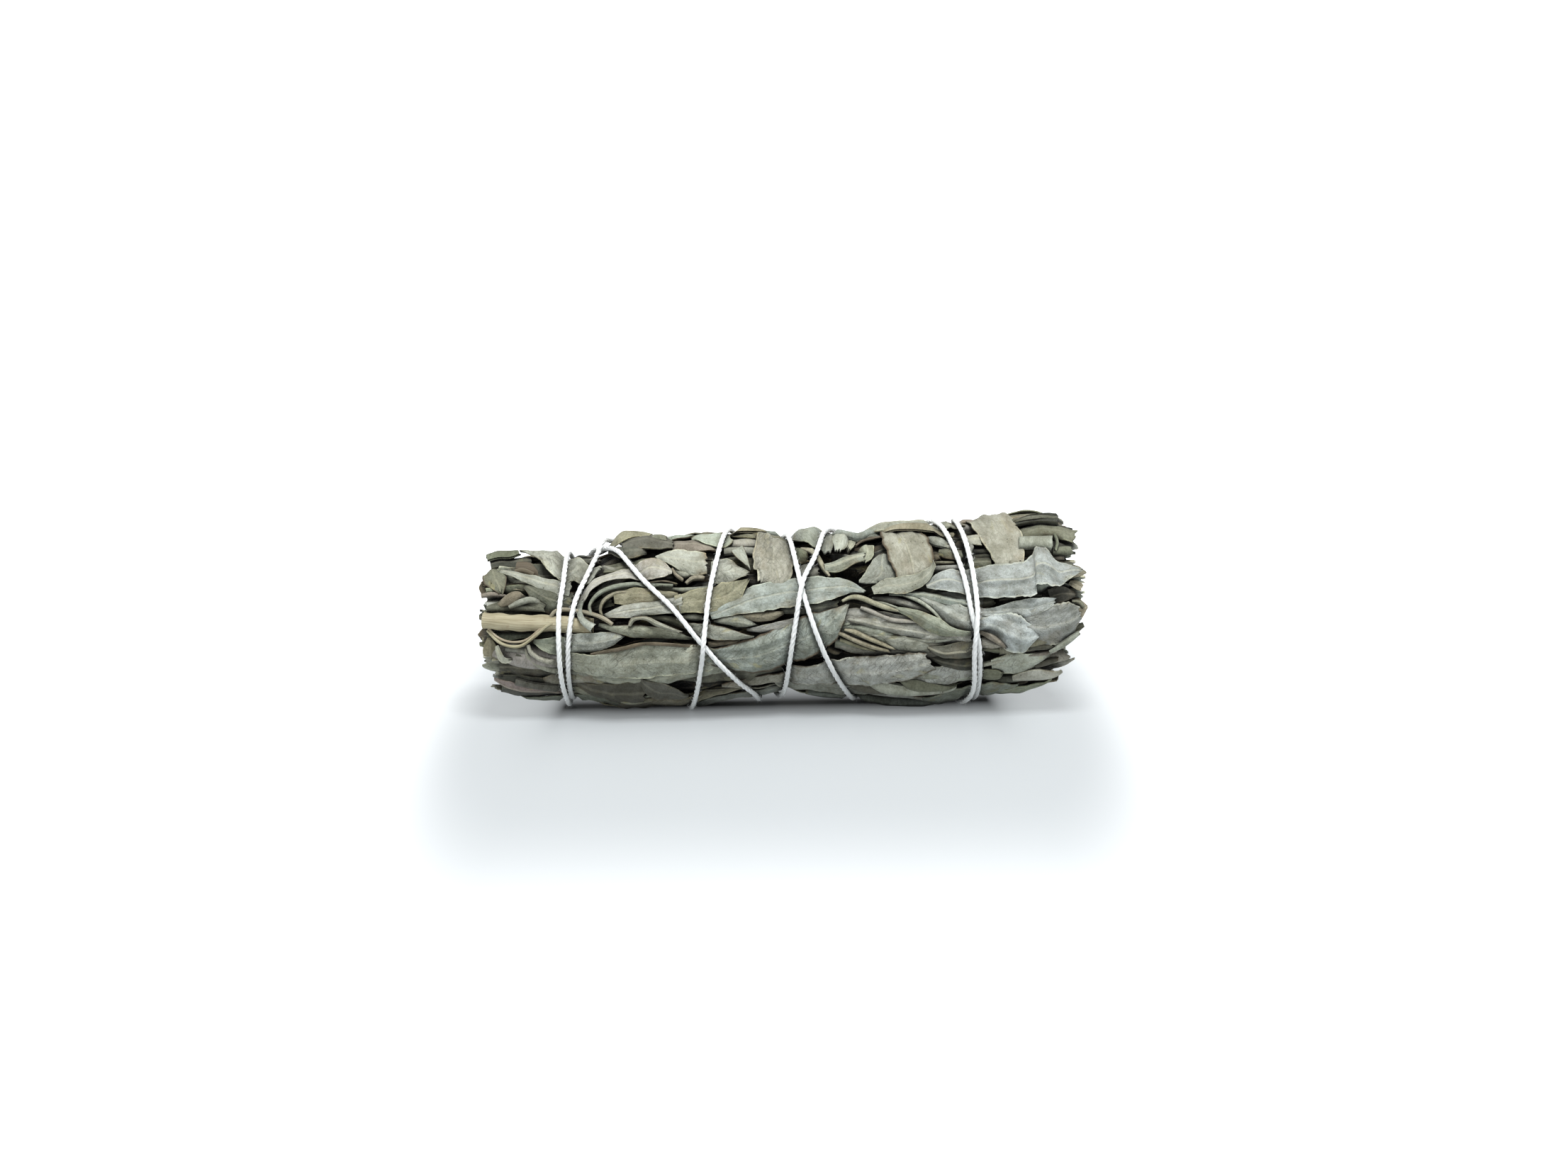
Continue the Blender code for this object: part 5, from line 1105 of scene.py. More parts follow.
# Rolled and folded leaf ends packed inside the bundle, seen only from its two ends
endFill = {
    "count": 230,
    "place": 48.0,
    "spread": 0.84,
    "turn": 2.39996,
    "start": 38.5,
    "thickness": 0.44,
    "rows": 9,
    "columns": 7,
    "halves": (0.9, 2.3),
    "tightHalves": (0.6, 1.1),
    "lowest": 0.3,
    "back": (0.3, 3.0),
    "turning": (-0.8, 0.8),
    "narrowing": (0.0, 0.6),
    "wave": (0.12, 9.0),
    "jag": (-0.9, 0.0),
    "shadeLength": 12.0,
    # painted light: the tips' colours are made this much lighter
    "tipPaintedLight": 1.45,
    "kinds": ("roll", "flat", "fold", "valley", "cup", "curl", "dome", "knot"),
    "tones": ("sage", "olive", "grey", "pale", "tan", "beige", "sage"),
}


def addTips(maker, first, last, seed):
    dice = random.Random(seed + 90)
    for end in (-1, 1):
        axis, radius = (float(value) for value in profileAt(end * endFill["place"]))
        for number in range(endFill["count"]):
            turn = number * endFill["turn"] % math.tau
            if not inSector(turn, end * endFill["place"], first, last):
                continue
            out = endFill["spread"] * radius * math.sqrt((number + 0.5) / endFill["count"])
            spot = (-out * math.cos(turn), axis + out * math.sin(turn))
            addTip(maker, end, spot, endReach(end, turn), dice)


def addTip(maker, end, spot, reach, dice):
    # one leaf end: a bent strip that runs out along the bundle, turned any way
    kind = leafKinds[dice.choice(endFill["kinds"])]
    tight = abs(kind["bend"]) > leafShape["tightBend"]
    half = dice.uniform(*endFill["tightHalves" if tight else "halves"])
    tip = reach - dice.uniform(*endFill["back"])
    share = np.linspace(0.0, 1.0, endFill["rows"])
    across = np.linspace(-1.0, 1.0, endFill["columns"])
    sideways, outward = leafSection(kind, across, half)
    slopes = np.stack((np.gradient(sideways), np.gradient(outward)))
    slopes /= np.hypot(*slopes)
    heading = (dice.uniform(0.0, math.tau) + dice.uniform(*endFill["turning"]) * share)[:, None]
    width = (half * (1.0 - dice.uniform(*endFill["narrowing"]) * share ** 3))[:, None]
    size, rate = endFill["wave"]
    width = width * (1.0 + size * np.sin(share * rate + dice.uniform(0.0, 6.0)))[:, None]
    along = endFill["start"] + (tip - endFill["start"]) * share[:, None]
    along = along + jaggedTip(across, share, dice, *endFill["jag"])
    faces = []
    for lift in (0.0, -endFill["thickness"]):
        first = width * sideways - lift * slopes[1]
        second = width * outward + lift * slopes[0]
        aside = spot[0] + first * np.cos(heading) - second * np.sin(heading)
        up = spot[1] + first * np.sin(heading) + second * np.cos(heading)
        faces.append(np.stack((end * along, aside, np.maximum(up, endFill["lowest"])), axis=-1))
    # painted shade: darker further in from the tip
    depth = np.clip((tip - along) / endFill["shadeLength"], 0.0, 1.0)
    sheet = {"across": across, "run": along, "share": share,
             "aside": width * across[None, :], "widest": half}
    colour = np.array(toneColour(dice.choice(endFill["tones"]), dice))
    # painted light: the tips' colour is raised to stand in for light reaching into the ends
    colour[:3] *= endFill["tipPaintedLight"]
    tintSheet(maker, faces, depth, sheet, kind, colour, dice)


# The woody stems: distance from the bundle's axis, radius, and how far the cut end reaches
woodyStems = ((5.2, 1.3, 49.8), (8.0, 0.95, 50.6), (6.4, 1.45, 48.9), (3.0, 0.9, 50.0), (7.4, 1.15, 49.3))
stemShape = {
    "place": -48.0,
    "start": -30.0,
    "points": 24,
    "sides": 12,
    "sway": (0.25, 0.5),
    "knobs": (0.05, 2.2),
    "uneven": 0.08,
    "browning": 0.6,
    "pith": 0.42,
    "pithSides": 9,
    "pithOut": 0.15,
}


def addStem(maker, first, last, number):
    # the woody stem of one sprig, with its cut end out at the left
    out, radius, reach = woodyStems[number]
    angle = sum(sectorAt(first, last, stemShape["place"])) / 2.0
    along = np.linspace(stemShape["start"], -reach, stemShape["points"])
    sway, swayRate = stemShape["sway"]
    path = onRound(along, np.full_like(along, angle), out + sway * np.sin(along * swayRate))
    colour = toneColour("tan", random.Random(number), browning=stemShape["browning"])
    knobs, knobRate = stemShape["knobs"]
    radii = radius + knobs * np.sin(along * knobRate)
    maker.addRod(path, radii, stemShape["sides"], colour, number * 3.0, stemShape["uneven"])
    pith = path[-4:] + np.array((-stemShape["pithOut"], 0.0, 0.0))
    colour = toneColour("olive", random.Random(number))
    maker.addRod(pith, radius * stemShape["pith"], stemShape["pithSides"], colour, number * 5.0, 0.1)


core = {
    "depth": 4.2,
    "start": -47.6,
    "end": 46.6,
    "rows": 60,
    "columns": 14,
    "furrows": (0.3, 9.0, 0.6),  # depth, how many round, how they run
    "rough": 0.12,
    "inner": 0.15,
    # near black: painted shade for the gaps between the leaves
    "colour": (0.009, 0.008, 0.006, 0.2),
    "endLighterShade": (0.085, 0.082, 0.062),
}


def addCore(maker, first, last):
    # the pressed heart of one sprig, coloured near black as painted shade, a little lighter at its ends
    grid = (core["rows"], core["columns"])
    size, around, drift = core["furrows"]
    along = np.linspace(core["start"], core["end"], grid[0])
    shares = np.linspace(0.0, 1.0, grid[1])
    outer = np.empty((*grid, 3))
    inner = np.empty((*grid, 3))
    dice = random.Random(3)
    for number, place in enumerate(along):
        start, stop = sectorAt(first, last, place)
        angles = start + (stop - start) * shares
        places = np.full_like(angles, place)
        radius = profileAt(place)[1] - core["depth"] + size * np.sin(angles * around + place * drift)
        radius = radius + np.array([dice.uniform(-core["rough"], core["rough"]) for _ in shares])
        radius = pressHollows(places, angles, radius)
        outer[number] = onRound(places, angles, radius)
        inner[number] = onRound(places, angles, radius * core["inner"])
    # painted shade: the core is coloured near black, lighter on its end rows
    colour = np.broadcast_to(np.array(core["colour"]), (*grid, 4)).copy()
    for row in (0, 1, -2, -1):
        colour[row, :, :3] = core["endLighterShade"]
    place = np.zeros((*grid, 3))
    place[..., 0] = along[:, None]
    place[..., 1] = shares[None, :] * 12.0
    maker.addGrid(outer, inner, colour, place, np.zeros((*grid, 3)))


class NodeBench:
    # small helper that adds and links the nodes of a material or of the world

    def __init__(self, owner, last="Principled BSDF"):
        owner.use_nodes = True
        self.owner = owner
        self.tree = owner.node_tree
        self.last = self.tree.nodes[last]
        self.spot = 0

    def add(self, kind, **settings):
        node = self.tree.nodes.new(kind)
        self.spot += 1
        node.location = (-220.0 * (self.spot % 8) - 200.0, -180.0 * (self.spot // 8))
        for key, value in settings.items():
            setattr(node, key, value)
        return node

    def feed(self, node, values):
        # numbers and colours are set, what other nodes give is linked
        for label, value in values.items():
            socket = node.inputs[label]
            if isinstance(value, (int, float, tuple)):
                socket.default_value = value
            else:
                self.tree.links.new(value, socket)
        return node

    def maths(self, operation, first, second=0.0):
        node = self.add("ShaderNodeMath", operation=operation)
        return self.feed(node, {0: first, 1: second}).outputs[0]

    def times(self, first, second):
        return self.maths("MULTIPLY", first, second)

    def plus(self, first, second):
        return self.maths("ADD", first, second)

    def minus(self, first, second):
        return self.maths("SUBTRACT", first, second)

    def most(self, first, second):
        return self.maths("MAXIMUM", first, second)

    def split(self, vector):
        return self.feed(self.add("ShaderNodeSeparateXYZ"), {0: vector}).outputs

    def join(self, first, second):
        return self.feed(self.add("ShaderNodeCombineXYZ"), {0: first, 1: second}).outputs[0]

    def stretched(self, vector, shares):
        node = self.add("ShaderNodeVectorMath", operation="MULTIPLY")
        return self.feed(node, {0: vector, 1: shares}).outputs[0]

    def given(self, name):
        # what the mesh holds under a name
        return self.add("ShaderNodeAttribute", attribute_name=name).outputs

    def ramp(self, value, low, high, start=0.0, end=1.0):
        node = self.add("ShaderNodeMapRange", interpolation_type="SMOOTHSTEP")
        self.feed(node, {"Value": value, "From Min": low, "From Max": high, "To Min": start, "To Max": end})
        return node.outputs[0]

    def blend(self, factor, first, second, mode="MIX"):
        node = self.add("ShaderNodeMix", data_type="RGBA", blend_type=mode)
        return self.feed(node, {"Factor": factor, "A": first, "B": second}).outputs["Result"]

    def noise(self, vector, scale, detail=3.0, roughness=0.6):
        node = self.add("ShaderNodeTexNoise")
        self.feed(node, {"Vector": vector, "Scale": scale, "Detail": detail, "Roughness": roughness})
        return node.outputs["Fac"]

    def cells(self, vector, scale, feature="DISTANCE_TO_EDGE"):
        node = self.add("ShaderNodeTexVoronoi", feature=feature, voronoi_dimensions="2D")
        return self.feed(node, {"Vector": vector, "Scale": scale}).outputs["Distance"]

    def relief(self, height, strength):
        # height is in millimetres
        node = self.add("ShaderNodeBump")
        return self.feed(node, {"Strength": strength, "Distance": mm, "Height": height}).outputs[0]


leafFinish = {
    "cloudLight": (1.12, 1.12, 1.12, 1.0),
    "cloudDark": (0.74, 0.73, 0.69, 1.0),
    "felt": (0.66, 0.665, 0.65, 1.0),
    "mottle": (0.76, 0.76, 0.735, 1.0),
    "brown": (0.20, 0.155, 0.095, 1.0),
    "stain": (0.36, 0.33, 0.16, 1.0),
    "veinGrooveShade": (0.075, 0.077, 0.062, 1.0),
    "vein": (0.62, 0.60, 0.46, 1.0),
    "rimHighlight": (1.45, 1.42, 1.32, 1.0),
    "edgeBrown": (0.10, 0.08, 0.055, 1.0),
    "speck": (0.05, 0.04, 0.03, 1.0),
    "creviceShadeReach": 2.2,
    "creviceShadeSamples": 4,
    "sheen": 0.08,
    "gloss": 0.25,
    "cellSize": 1.15,
    "fineCells": 2.6,  # how much finer the finest net of veins is
    "speckCells": 0.8,
    "sideVeinStep": 1.9,
    "lean": 1.25,  # how far a side vein runs forward for each millimetre aside
    # cloudy patterns: how fine, how many layers, how rough
    "patterns": {
        "soft": (0.9, 4.0), "showing": (0.33, 3.0), "felt": (7.0, 3.0, 0.7), "mottle": (1.9, 3.0, 0.65),
        "cloud": (0.30, 4.0, 0.6), "brown": (0.24, 5.0, 0.62), "stain": (0.5, 3.0, 0.5), "rare": (0.6, 2.0),
    },
    # soft steps: from, to, and the values before and after
    "steps": {
        "rib": (0.07, 0.24, 1.0, 0.0), "sideVein": (0.01, 0.06, 1.0, 0.0), "groove": (0.0, 0.07, 1.0, 0.0),
        "fineNet": (0.0, 0.12, 1.0, 0.0), "showing": (0.36, 0.62, 0.15, 1.0), "cloud": (0.32, 0.68),
        "felt": (0.35, 0.70, 0.0, 0.7), "mottle": (0.40, 0.66, 0.0, 0.8), "brown": (0.50, 0.72),
        "stain": (0.60, 0.72, 0.0, 0.45), "rimHighlight": (0.955, 0.99), "dry": (1.0, 1.15),
        "edgeBrown": (0.90, 1.02), "creviceShade": (0.25, 0.95, 0.12, 1.0), "speck": (0.04, 0.10, 0.8, 0.0),
        "rare": (0.55, 0.62), "roughness": (0.2, 0.8, 0.92, 0.72),
    },
    "strengths": {
        "sideVein": 0.9, "fineNet": 0.45, "lines": 0.52, "rib": 0.30, "rimHighlight": 0.85,
        "netLean": 0.75, "veinWander": 0.9, "netWander": 0.5, "edgeWander": 0.10, "dryCloud": 0.5,
    },
    "relief": {"lines": -0.06, "felt": 0.05, "soft": 0.40, "mottle": 0.10, "rib": 0.12},
}


def makeLeafMaterial():
    bench = NodeBench(bpy.data.materials.new("sageLeaf"))
    place = bench.given("leafPlace")["Vector"]
    tint = bench.given("leafColour")
    along, across, edge = bench.split(place)
    ribbed, netted, chance = bench.split(bench.given("leafTrait")["Vector"])
    strengths = leafFinish["strengths"]

    def pattern(label, where=place):
        return bench.noise(where, *leafFinish["patterns"][label])

    def step(label, value):
        return bench.ramp(value, *leafFinish["steps"][label])

    def lay(label, factor, under, mode="MIX"):
        return bench.blend(factor, under, leafFinish[label], mode)

    soft, felt, mottle, cloud = (pattern(label) for label in ("soft", "felt", "mottle", "cloud"))
    # midrib and side veins, which lean forward from it
    aside = bench.maths("ABSOLUTE", across)
    rib = bench.times(step("rib", aside), ribbed)
    lean = bench.plus(along, bench.times(aside, -leafFinish["lean"]))
    lean = bench.plus(lean, bench.times(soft, strengths["veinWander"]))
    repeat = bench.maths("FRACT", bench.maths("DIVIDE", lean, leafFinish["sideVeinStep"]))
    sideVein = step("sideVein", bench.maths("ABSOLUTE", bench.minus(repeat, 0.5)))
    # the fine net of grooves between them
    wander = bench.times(soft, strengths["netWander"])
    slanted = bench.join(bench.times(lean, strengths["netLean"]), bench.plus(across, wander))
    groove = step("groove", bench.cells(slanted, 1.0 / leafFinish["cellSize"]))
    fineNet = step("fineNet", bench.cells(slanted, leafFinish["fineCells"] / leafFinish["cellSize"]))
    lines = bench.most(groove, bench.times(sideVein, strengths["sideVein"]))
    lines = bench.most(lines, bench.times(fineNet, strengths["fineNet"]))
    lines = bench.times(lines, bench.times(step("showing", pattern("showing")), netted))
    # colour: clouds, felt, browning, stains, veins with painted shade in their grooves, edges with a painted
    # highlight on the rim, painted shade in the crevices, specks
    colour = bench.blend(step("cloud", cloud), leafFinish["cloudLight"], leafFinish["cloudDark"])
    colour = bench.blend(1.0, tint["Color"], colour, "MULTIPLY")
    colour = lay("felt", step("felt", felt), colour, "MULTIPLY")
    colour = lay("mottle", step("mottle", mottle), colour, "MULTIPLY")
    colour = lay("brown", bench.times(step("brown", pattern("brown")), tint["Alpha"]), colour)
    colour = lay("stain", bench.times(step("stain", pattern("stain", slanted)), chance), colour)
    # the sunken net of veins is coloured darker: painted shade in its grooves
    colour = lay("veinGrooveShade", bench.times(lines, strengths["lines"]), colour)
    colour = lay("vein", bench.times(rib, strengths["rib"]), colour)
    uneven = bench.plus(edge, bench.times(soft, strengths["edgeWander"]))
    dry = step("dry", bench.plus(chance, bench.times(cloud, strengths["dryCloud"])))
    # painted highlight: a lighter rim along each edge
    pale = bench.times(step("rimHighlight", uneven), strengths["rimHighlight"])
    colour = lay("rimHighlight", pale, colour, "MULTIPLY")
    colour = lay("edgeBrown", bench.times(step("edgeBrown", uneven), dry), colour)
    # painted shade: the colour darkens by ambient occlusion within a few millimetres, where leaves overlap
    creviceShade = bench.add("ShaderNodeAmbientOcclusion", samples=leafFinish["creviceShadeSamples"])
    bench.feed(creviceShade, {"Distance": leafFinish["creviceShadeReach"] * mm})
    colour = bench.blend(1.0, colour, step("creviceShade", creviceShade.outputs["AO"]), "MULTIPLY")
    speck = step("speck", bench.cells(place, leafFinish["speckCells"], "F1"))
    colour = lay("speck", bench.times(speck, step("rare", pattern("rare"))), colour)
    height = 0.0
    parts = {"lines": lines, "felt": felt, "soft": soft, "mottle": mottle, "rib": rib}
    for label, part in parts.items():
        height = bench.plus(height, bench.times(part, leafFinish["relief"][label]))
    bench.feed(bench.last, {"Base Color": colour, "Normal": bench.relief(height, 1.0),
                            "Roughness": step("roughness", felt), "Sheen Weight": leafFinish["sheen"],
                            "Specular IOR Level": leafFinish["gloss"]})
    return bench.owner


stemFinish = {
    "streaks": (0.12, 3.0, 1.0),  # how much the grain is drawn out: along, round
    "streakNoise": (1.2, 5.0, 0.6),
    "streakStep": (0.35, 0.7),
    "streakColour": (0.62, 0.59, 0.53, 1.0),
    "cloudNoise": (0.5, 3.0),
    "cloudStep": (0.55, 0.75, 0.0, 0.5),
    "roughness": (0.2, 0.8, 0.6, 0.85),
    "relief": (0.2, 0.1),
    "reliefStrength": 0.8,
}


def makeStemMaterial():
    bench = NodeBench(bpy.data.materials.new("woodyStem"))
    place = bench.given("leafPlace")["Vector"]
    tint = bench.given("leafColour")["Color"]
    streak = bench.noise(bench.stretched(place, stemFinish["streaks"]), *stemFinish["streakNoise"])
    cloud = bench.noise(place, *stemFinish["cloudNoise"])
    streaked = bench.ramp(streak, *stemFinish["streakStep"])
    colour = bench.blend(streaked, tint, stemFinish["streakColour"], "MULTIPLY")
    colour = bench.blend(bench.ramp(cloud, *stemFinish["cloudStep"]), colour, leafFinish["brown"])
    grain, bumps = stemFinish["relief"]
    height = bench.plus(bench.times(streak, grain), bench.times(cloud, bumps))
    bench.feed(bench.last, {"Base Color": colour, "Roughness": bench.ramp(streak, *stemFinish["roughness"]),
                            "Normal": bench.relief(height, stemFinish["reliefStrength"])})
    return bench.owner


cottonFinish = {
    "colour": (0.86, 0.87, 0.86, 1.0),
    "shade": (0.70, 0.73, 0.73, 1.0),
    "soil": (0.70, 0.70, 0.66, 1.0),
    "fibres": (0.8, 6.0, 1.0),
    "fibreNoise": (2.5, 4.0, 0.7),
    "fibreStep": (0.3, 0.7),
    "cloudNoise": (0.6, 2.0),
    "cloudStep": (0.45, 0.7, 0.0, 0.35),
    "roughness": (0.2, 0.8, 0.95, 0.8),
    "relief": 0.12,
    "reliefStrength": 0.7,
    "sheen": 0.35,
}


def makeCottonMaterial():
    bench = NodeBench(bpy.data.materials.new("cottonTwine"))
    place = bench.given("leafPlace")["Vector"]
    fibre = bench.noise(bench.stretched(place, cottonFinish["fibres"]), *cottonFinish["fibreNoise"])
    cloud = bench.noise(place, *cottonFinish["cloudNoise"])
    shaded = bench.ramp(fibre, *cottonFinish["fibreStep"])
    colour = bench.blend(shaded, cottonFinish["shade"], cottonFinish["colour"])
    colour = bench.blend(bench.ramp(cloud, *cottonFinish["cloudStep"]), colour, cottonFinish["soil"])
    height = bench.times(fibre, cottonFinish["relief"])
    bench.feed(bench.last, {"Base Color": colour, "Roughness": bench.ramp(fibre, *cottonFinish["roughness"]),
                            "Normal": bench.relief(height, cottonFinish["reliefStrength"]),
                            "Sheen Weight": cottonFinish["sheen"]})
    return bench.owner


cottonWhite = (1.0, 1.0, 1.0, 1.0)


def addTwistedStrands(maker, path, phase):
    # the plies laid round the middle line; gives back the frame carried along it
    run = runAlong(path)
    heading, outward, aside = carriedFrame(path, np.array((0.3, 0.2, 0.9)))
    offset = string["diameter"] / 2.0 - string["strandRadius"]
    (swell, swellRate), (nub, nubRate) = string["uneven"]
    for ply in range(string["plies"]):
        turn = run * math.tau / string["lay"] + ply * math.tau / string["plies"] + phase
        strand = path + offset * (np.cos(turn)[:, None] * outward + np.sin(turn)[:, None] * aside)
        uneven = 1.0 + swell * np.sin(run * swellRate + ply) + nub * np.sin(run * nubRate)
        radii = string["strandRadius"] * uneven
        maker.addRod(strand, radii, string["strandSides"], cottonWhite, ply * 31.0 + phase)
    return heading, outward, aside


fuzz = {
    "count": 2600,
    "seed": 17,
    "lengths": (0.25, 0.9),
    "start": 0.42,
    "firstHalf": (0.35, 0.5, 0.3),  # outward, along, around
    "secondHalf": ((-0.2, 0.5), 0.2, 0.6),  # outward, around, share of the length
    "radii": (0.015, 0.011, 0.006),
    "aboveFloor": 0.04,
}


def addFuzz(maker, path, heading, outward, aside):
    # loose fibres that stand off the string
    dice = np.random.default_rng(fuzz["seed"])
    rising, leaning, curling = fuzz["firstHalf"]
    bending, turning, share = fuzz["secondHalf"]
    quarter = 1.57
    for number in range(fuzz["count"]):
        spot = int(dice.integers(2, len(path) - 3))
        turn = dice.uniform(0.0, math.tau)
        ahead = heading[spot]
        out = math.cos(turn) * outward[spot] + math.sin(turn) * aside[spot]
        around = math.cos(turn + quarter) * outward[spot] + math.sin(turn + quarter) * aside[spot]
        length = dice.uniform(*fuzz["lengths"])
        lean = dice.uniform(-1.0, 1.0)
        start = path[spot] + out * fuzz["start"]
        middle = start + (out * rising + ahead * lean * leaning + around * curling) * length
        bend = out * dice.uniform(*bending) + ahead * lean + around * turning
        end = middle + bend * length * share
        fibre = np.array((start, middle, end))
        fibre[:, 2] = np.maximum(fibre[:, 2], fuzz["aboveFloor"])
        maker.addRod(fibre, fuzz["radii"], 3, cottonWhite, number * 0.7)


def addKnot(maker, path):
    # both ends go round each other once and leave as short tails
    angle = math.radians(string["knotAngle"])
    place = string["knotPlace"]
    radius = float(profileAt(place)[1]) + string["knotRise"]
    base = onRound(np.array(place), np.array(angle), np.array(radius))
    out = np.array((0.0, -math.cos(angle), math.sin(angle)))
    side = np.array((1.0, 0.0, 0.0))
    run = np.cross(side, out)
    for number, (end, way) in enumerate(((path[0], 1), (path[-1], -1))):
        spots = [end]
        for ahead, beside, above in string["knot"]:
            spots.append(base + run * -way * ahead + side * way * beside + out * above)
        spots = np.array(spots)
        knots = runAlong(spots)
        steps = np.linspace(0.0, knots[-1], int(knots[-1] / string["knotStep"]))
        line = smoothLine(knots, spots, steps)
        addTwistedStrands(maker, line, number * 2.0)


def makeString(material):
    maker = MeshMaker()
    margin = string["knotMargin"]
    step = string["step"] / string["stepRadius"]
    wound = np.arange(courseWound[0] + margin, courseWound[-1] - margin, step)
    path = onRound(stringPlace(wound), -wound, stringRadius(wound))
    path[:, 2] = np.maximum(path[:, 2], string["diameter"] / 2.0 + string["aboveFloor"])
    addFuzz(maker, path, *addTwistedStrands(maker, path, 0.0))
    addKnot(maker, path)
    return maker.build("cottonString", material)


# The leafy stems: name, solid, first and last edge, leaves, broad leaves, stalks, seed
sprigs = (
    ("topSprig", "sprig_top", "top", "ridge", topLeaves, topPlates, topStalks, 21),
    ("frontSprig", "sprig_front", "low", "top", frontLeaves, frontPlates, frontStalks, 22),
    ("lowFrontSprig", "sprig_low_front", "under", "low", lowLeaves, (), (), 23),
    ("lowBackSprig", "sprig_low_back", "back", "under", (), (), (), 24),
    ("backSprig", "sprig_back", "ridge", "back", (), (), (), 25),
)


def makeSprigs(leafMaterial, stemMaterial):
    for number, (name, node, first, last, leaves, plates, stalks, seed) in enumerate(sprigs):
        maker = MeshMaker()
        addCore(maker, first, last)
        addHiddenLeaves(maker, first, last, seed)
        addEndLeaves(maker, first, last, seed)
        addTips(maker, first, last, seed)
        addSeenLeaves(maker, leaves, random.Random(seed + 7))
        for kind, layer, tone, firstEdge, secondEdge in plates:
            colour = toneColour(tone, random.Random(seed))
            addPlate(maker, kind, layer, colour, np.array(firstEdge, float), np.array(secondEdge, float),
                     random.Random(seed + len(firstEdge)))
        foliage = maker.build(name, leafMaterial)
        woody = MeshMaker()
        addStem(woody, first, last, number)
        addStalks(woody, stalks)
        wood = woody.build(name + "Stem", stemMaterial)
        for piece in (foliage, wood):
            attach(piece, "root")
        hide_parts(node)
        print(name, "has", len(foliage.data.polygons) * 2, "triangles")


# The floor, metres: its colour darkens towards the bundle as a painted shadow, it glows near the bundle
# except right by it to shape a soft painted shadow, and far from it it glows evenly white
floorFinish = {
    "size": 4.0,
    # dark colour by the bundle, a painted shadow
    "near": (0.170, 0.182, 0.190, 1.0),
    "far": (0.93, 0.94, 0.95, 1.0),
    "paintedShadowFade": (0.06, 0.20),
    "glowColour": (0.955, 1.0, 1.02, 1.0),
    "glow": 0.9,
    "glowFade": (0.08, 0.24),
    "nearPaintedLight": 0.43,
    "shadowReach": 0.010,
    "shadowMiddle": -0.0015,
    "shadowHalf": 0.0365,
    "shadowFrom": 0.001,
    "endFade": 5.0,
    "roughness": 0.5,
    "gloss": 0.3,
}


def makeFloor():
    size = floorFinish["size"]
    mesh = bpy.data.meshes.new("floor")
    corners = [(-size, -size, 0), (size, -size, 0), (size, size, 0), (-size, size, 0)]
    mesh.from_pydata(corners, [], [(0, 1, 2, 3)])
    floor = addObject("floor", mesh)
    bench = NodeBench(bpy.data.materials.new("whiteTable"))
    # distance from the line the bundle lies along, which grows faster past its ends
    along, across, _ = bench.split(bench.add("ShaderNodeTexCoord").outputs["Object"])
    shifted = bench.minus(along, floorFinish["shadowMiddle"])
    beyond = bench.minus(bench.maths("ABSOLUTE", shifted), floorFinish["shadowHalf"])
    beyond = bench.times(bench.most(beyond, 0.0), floorFinish["endFade"])
    length = bench.add("ShaderNodeVectorMath", operation="LENGTH")
    away = bench.feed(length, {0: bench.join(beyond, across)}).outputs["Value"]
    # painted shadow: the floor's colour is darker near the bundle
    paintedShadowFade = bench.ramp(away, *floorFinish["paintedShadowFade"])
    far = bench.ramp(away, *floorFinish["glowFade"])
    # painted light: a glow that is nothing right by the bundle and rises away from it, shaping a soft shadow
    fall = bench.minus(floorFinish["shadowFrom"], away)
    fall = bench.maths("DIVIDE", fall, floorFinish["shadowReach"])
    lit = bench.minus(1.0, bench.maths("EXPONENT", fall))
    soft = bench.times(bench.most(lit, 0.0), floorFinish["nearPaintedLight"])
    glow = bench.most(soft, bench.times(far, floorFinish["glow"]))
    colour = bench.blend(paintedShadowFade, floorFinish["near"], floorFinish["far"])
    bench.feed(bench.last, {"Base Color": colour, "Emission Color": floorFinish["glowColour"],
                            "Emission Strength": glow, "Roughness": floorFinish["roughness"],
                            "Specular IOR Level": floorFinish["gloss"]})
    mesh.materials.append(bench.owner)


camera = {
    "tilt": 10.0,
    "distance": 340.0,
    "target": (0.3, 0.0, 20.3),
    "lens": 45.28,
    "sensor": 36.0,
    "roll": 1.03,
    "nearest": 0.01,
}


def aimAt(thing, target):
    thing.rotation_euler = (target - thing.location).to_track_quat("-Z", "Y").to_euler()


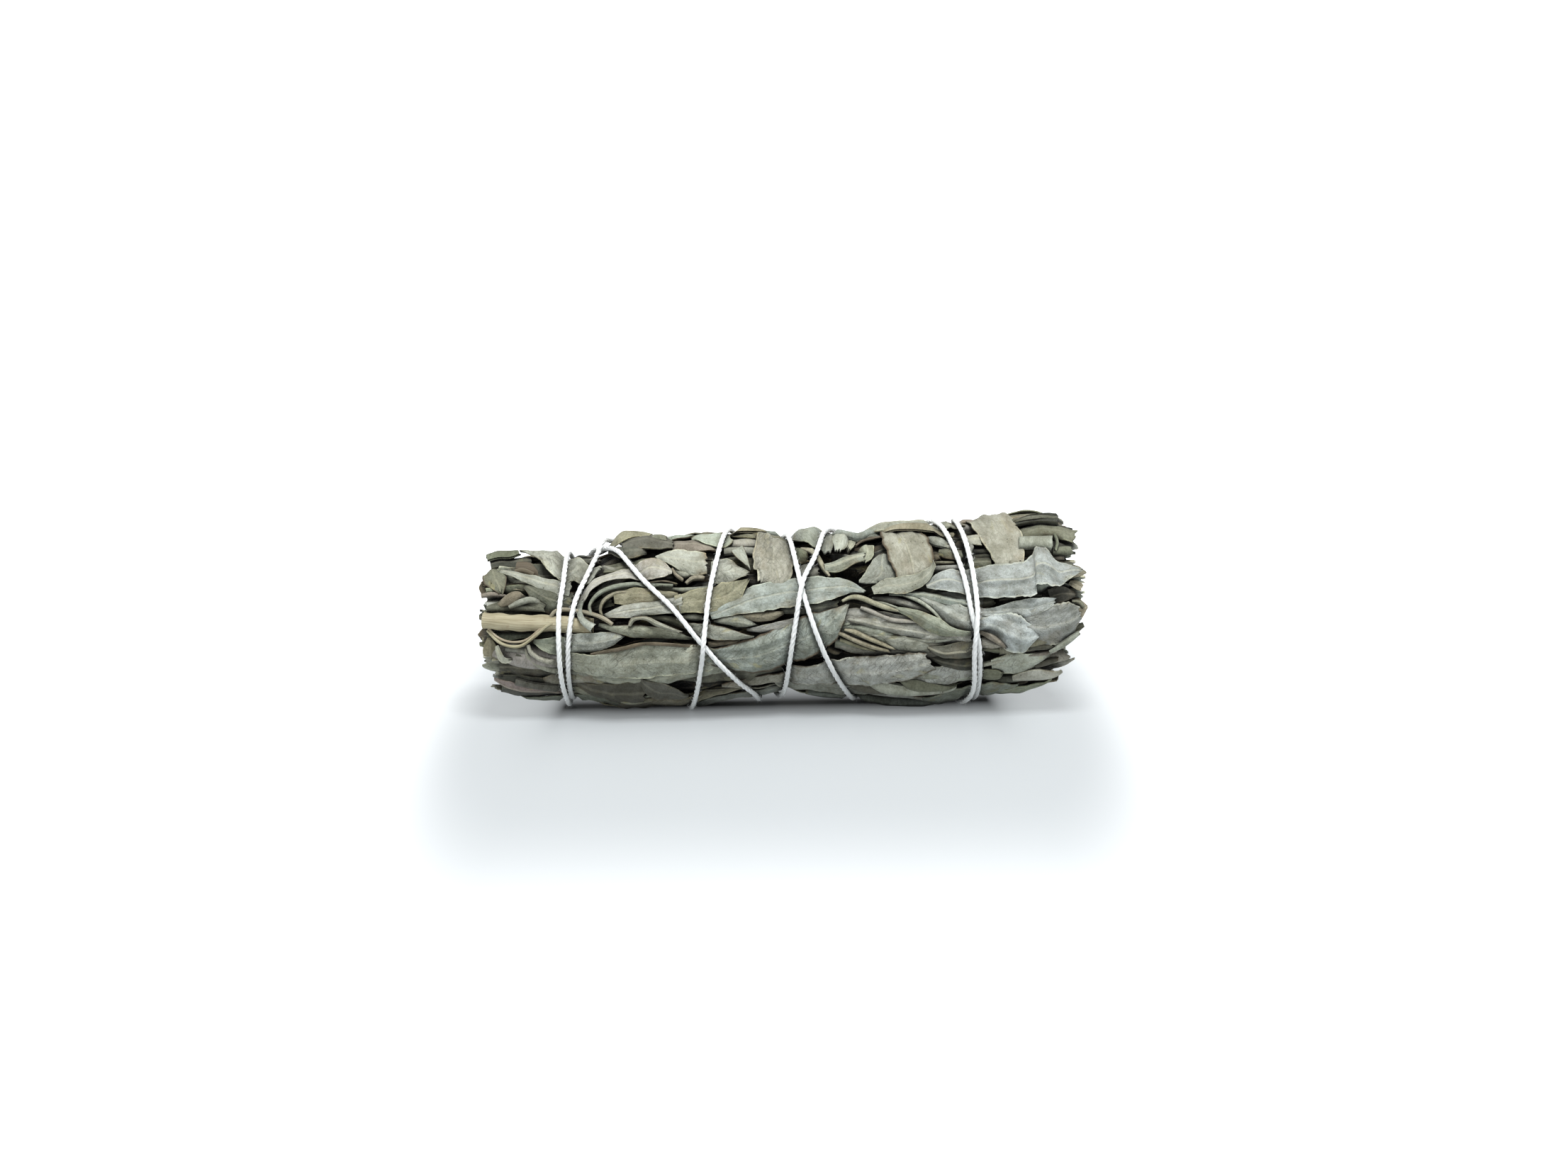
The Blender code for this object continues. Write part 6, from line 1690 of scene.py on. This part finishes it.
def makeCamera():
    data = bpy.data.cameras.new("camera")
    data.lens = camera["lens"]
    data.sensor_width = camera["sensor"]
    data.clip_start = camera["nearest"]
    thing = addObject("camera", data)
    tilt = math.radians(camera["tilt"])
    target = Vector(camera["target"]) * mm
    thing.location = target + Vector((0.0, -math.cos(tilt), math.sin(tilt))) * camera["distance"] * mm
    aimAt(thing, target)
    thing.rotation_euler.rotate_axis("Z", math.radians(-camera["roll"]))
    bpy.context.scene.camera = thing


lamps = {
    "key": {"at": (0.05, -0.20, 0.52), "size": 0.20, "power": 3.5},
    "fill": {"at": (-0.10, -0.50, 0.30), "size": 0.4, "power": 1.0},
}
lampTarget = (0.0, 0.0, 0.015)

# How bright the surroundings are each way; the backdrop itself looks white
sky = {"zenith": 0.03, "behind": 0.42, "front": 0.03, "sides": 0.36, "horizon": 0.15, "seen": 1.1}
skySteps = {"behind": (-0.5, 0.5), "sides": (0.5, 0.95), "zenith": (0.3, 0.9), "horizon": (0.12, 0.20)}


def makeLights():
    for name, lamp in lamps.items():
        data = bpy.data.lights.new(name, "AREA")
        data.size = lamp["size"]
        data.energy = lamp["power"]
        thing = addObject(name, data)
        thing.location = lamp["at"]
        aimAt(thing, Vector(lampTarget))
    world = bpy.data.worlds.new("studio")
    bpy.context.scene.world = world
    bench = NodeBench(world, "Background")
    sideways, ahead, up = bench.split(bench.add("ShaderNodeTexCoord").outputs["Generated"])
    seen = bench.add("ShaderNodeLightPath").outputs["Is Camera Ray"]
    level = bench.ramp(ahead, *skySteps["behind"], sky["front"], sky["behind"])
    level = bench.ramp(bench.maths("ABSOLUTE", sideways), *skySteps["sides"], level, sky["sides"])
    level = bench.ramp(up, *skySteps["zenith"], level, sky["zenith"])
    level = bench.ramp(up, *skySteps["horizon"], sky["horizon"], level)
    level = bench.ramp(seen, 0.0, 1.0, level, sky["seen"])
    bench.feed(bench.last, {"Color": (1.0, 1.0, 1.0, 1.0), "Strength": level})
    bpy.context.scene.view_settings.view_transform = "Standard"
    bpy.context.scene.view_settings.look = "Medium High Contrast"


makeCamera()
print("camera placed")
makeSprigs(makeLeafMaterial(), makeStemMaterial())
print("leafy stems made")
cotton = makeString(makeCottonMaterial())
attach(cotton, "root")
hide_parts("cotton_string")
print("string wound with", len(cotton.data.polygons) * 2, "triangles")
makeFloor()
makeLights()
print("floor and lights set")
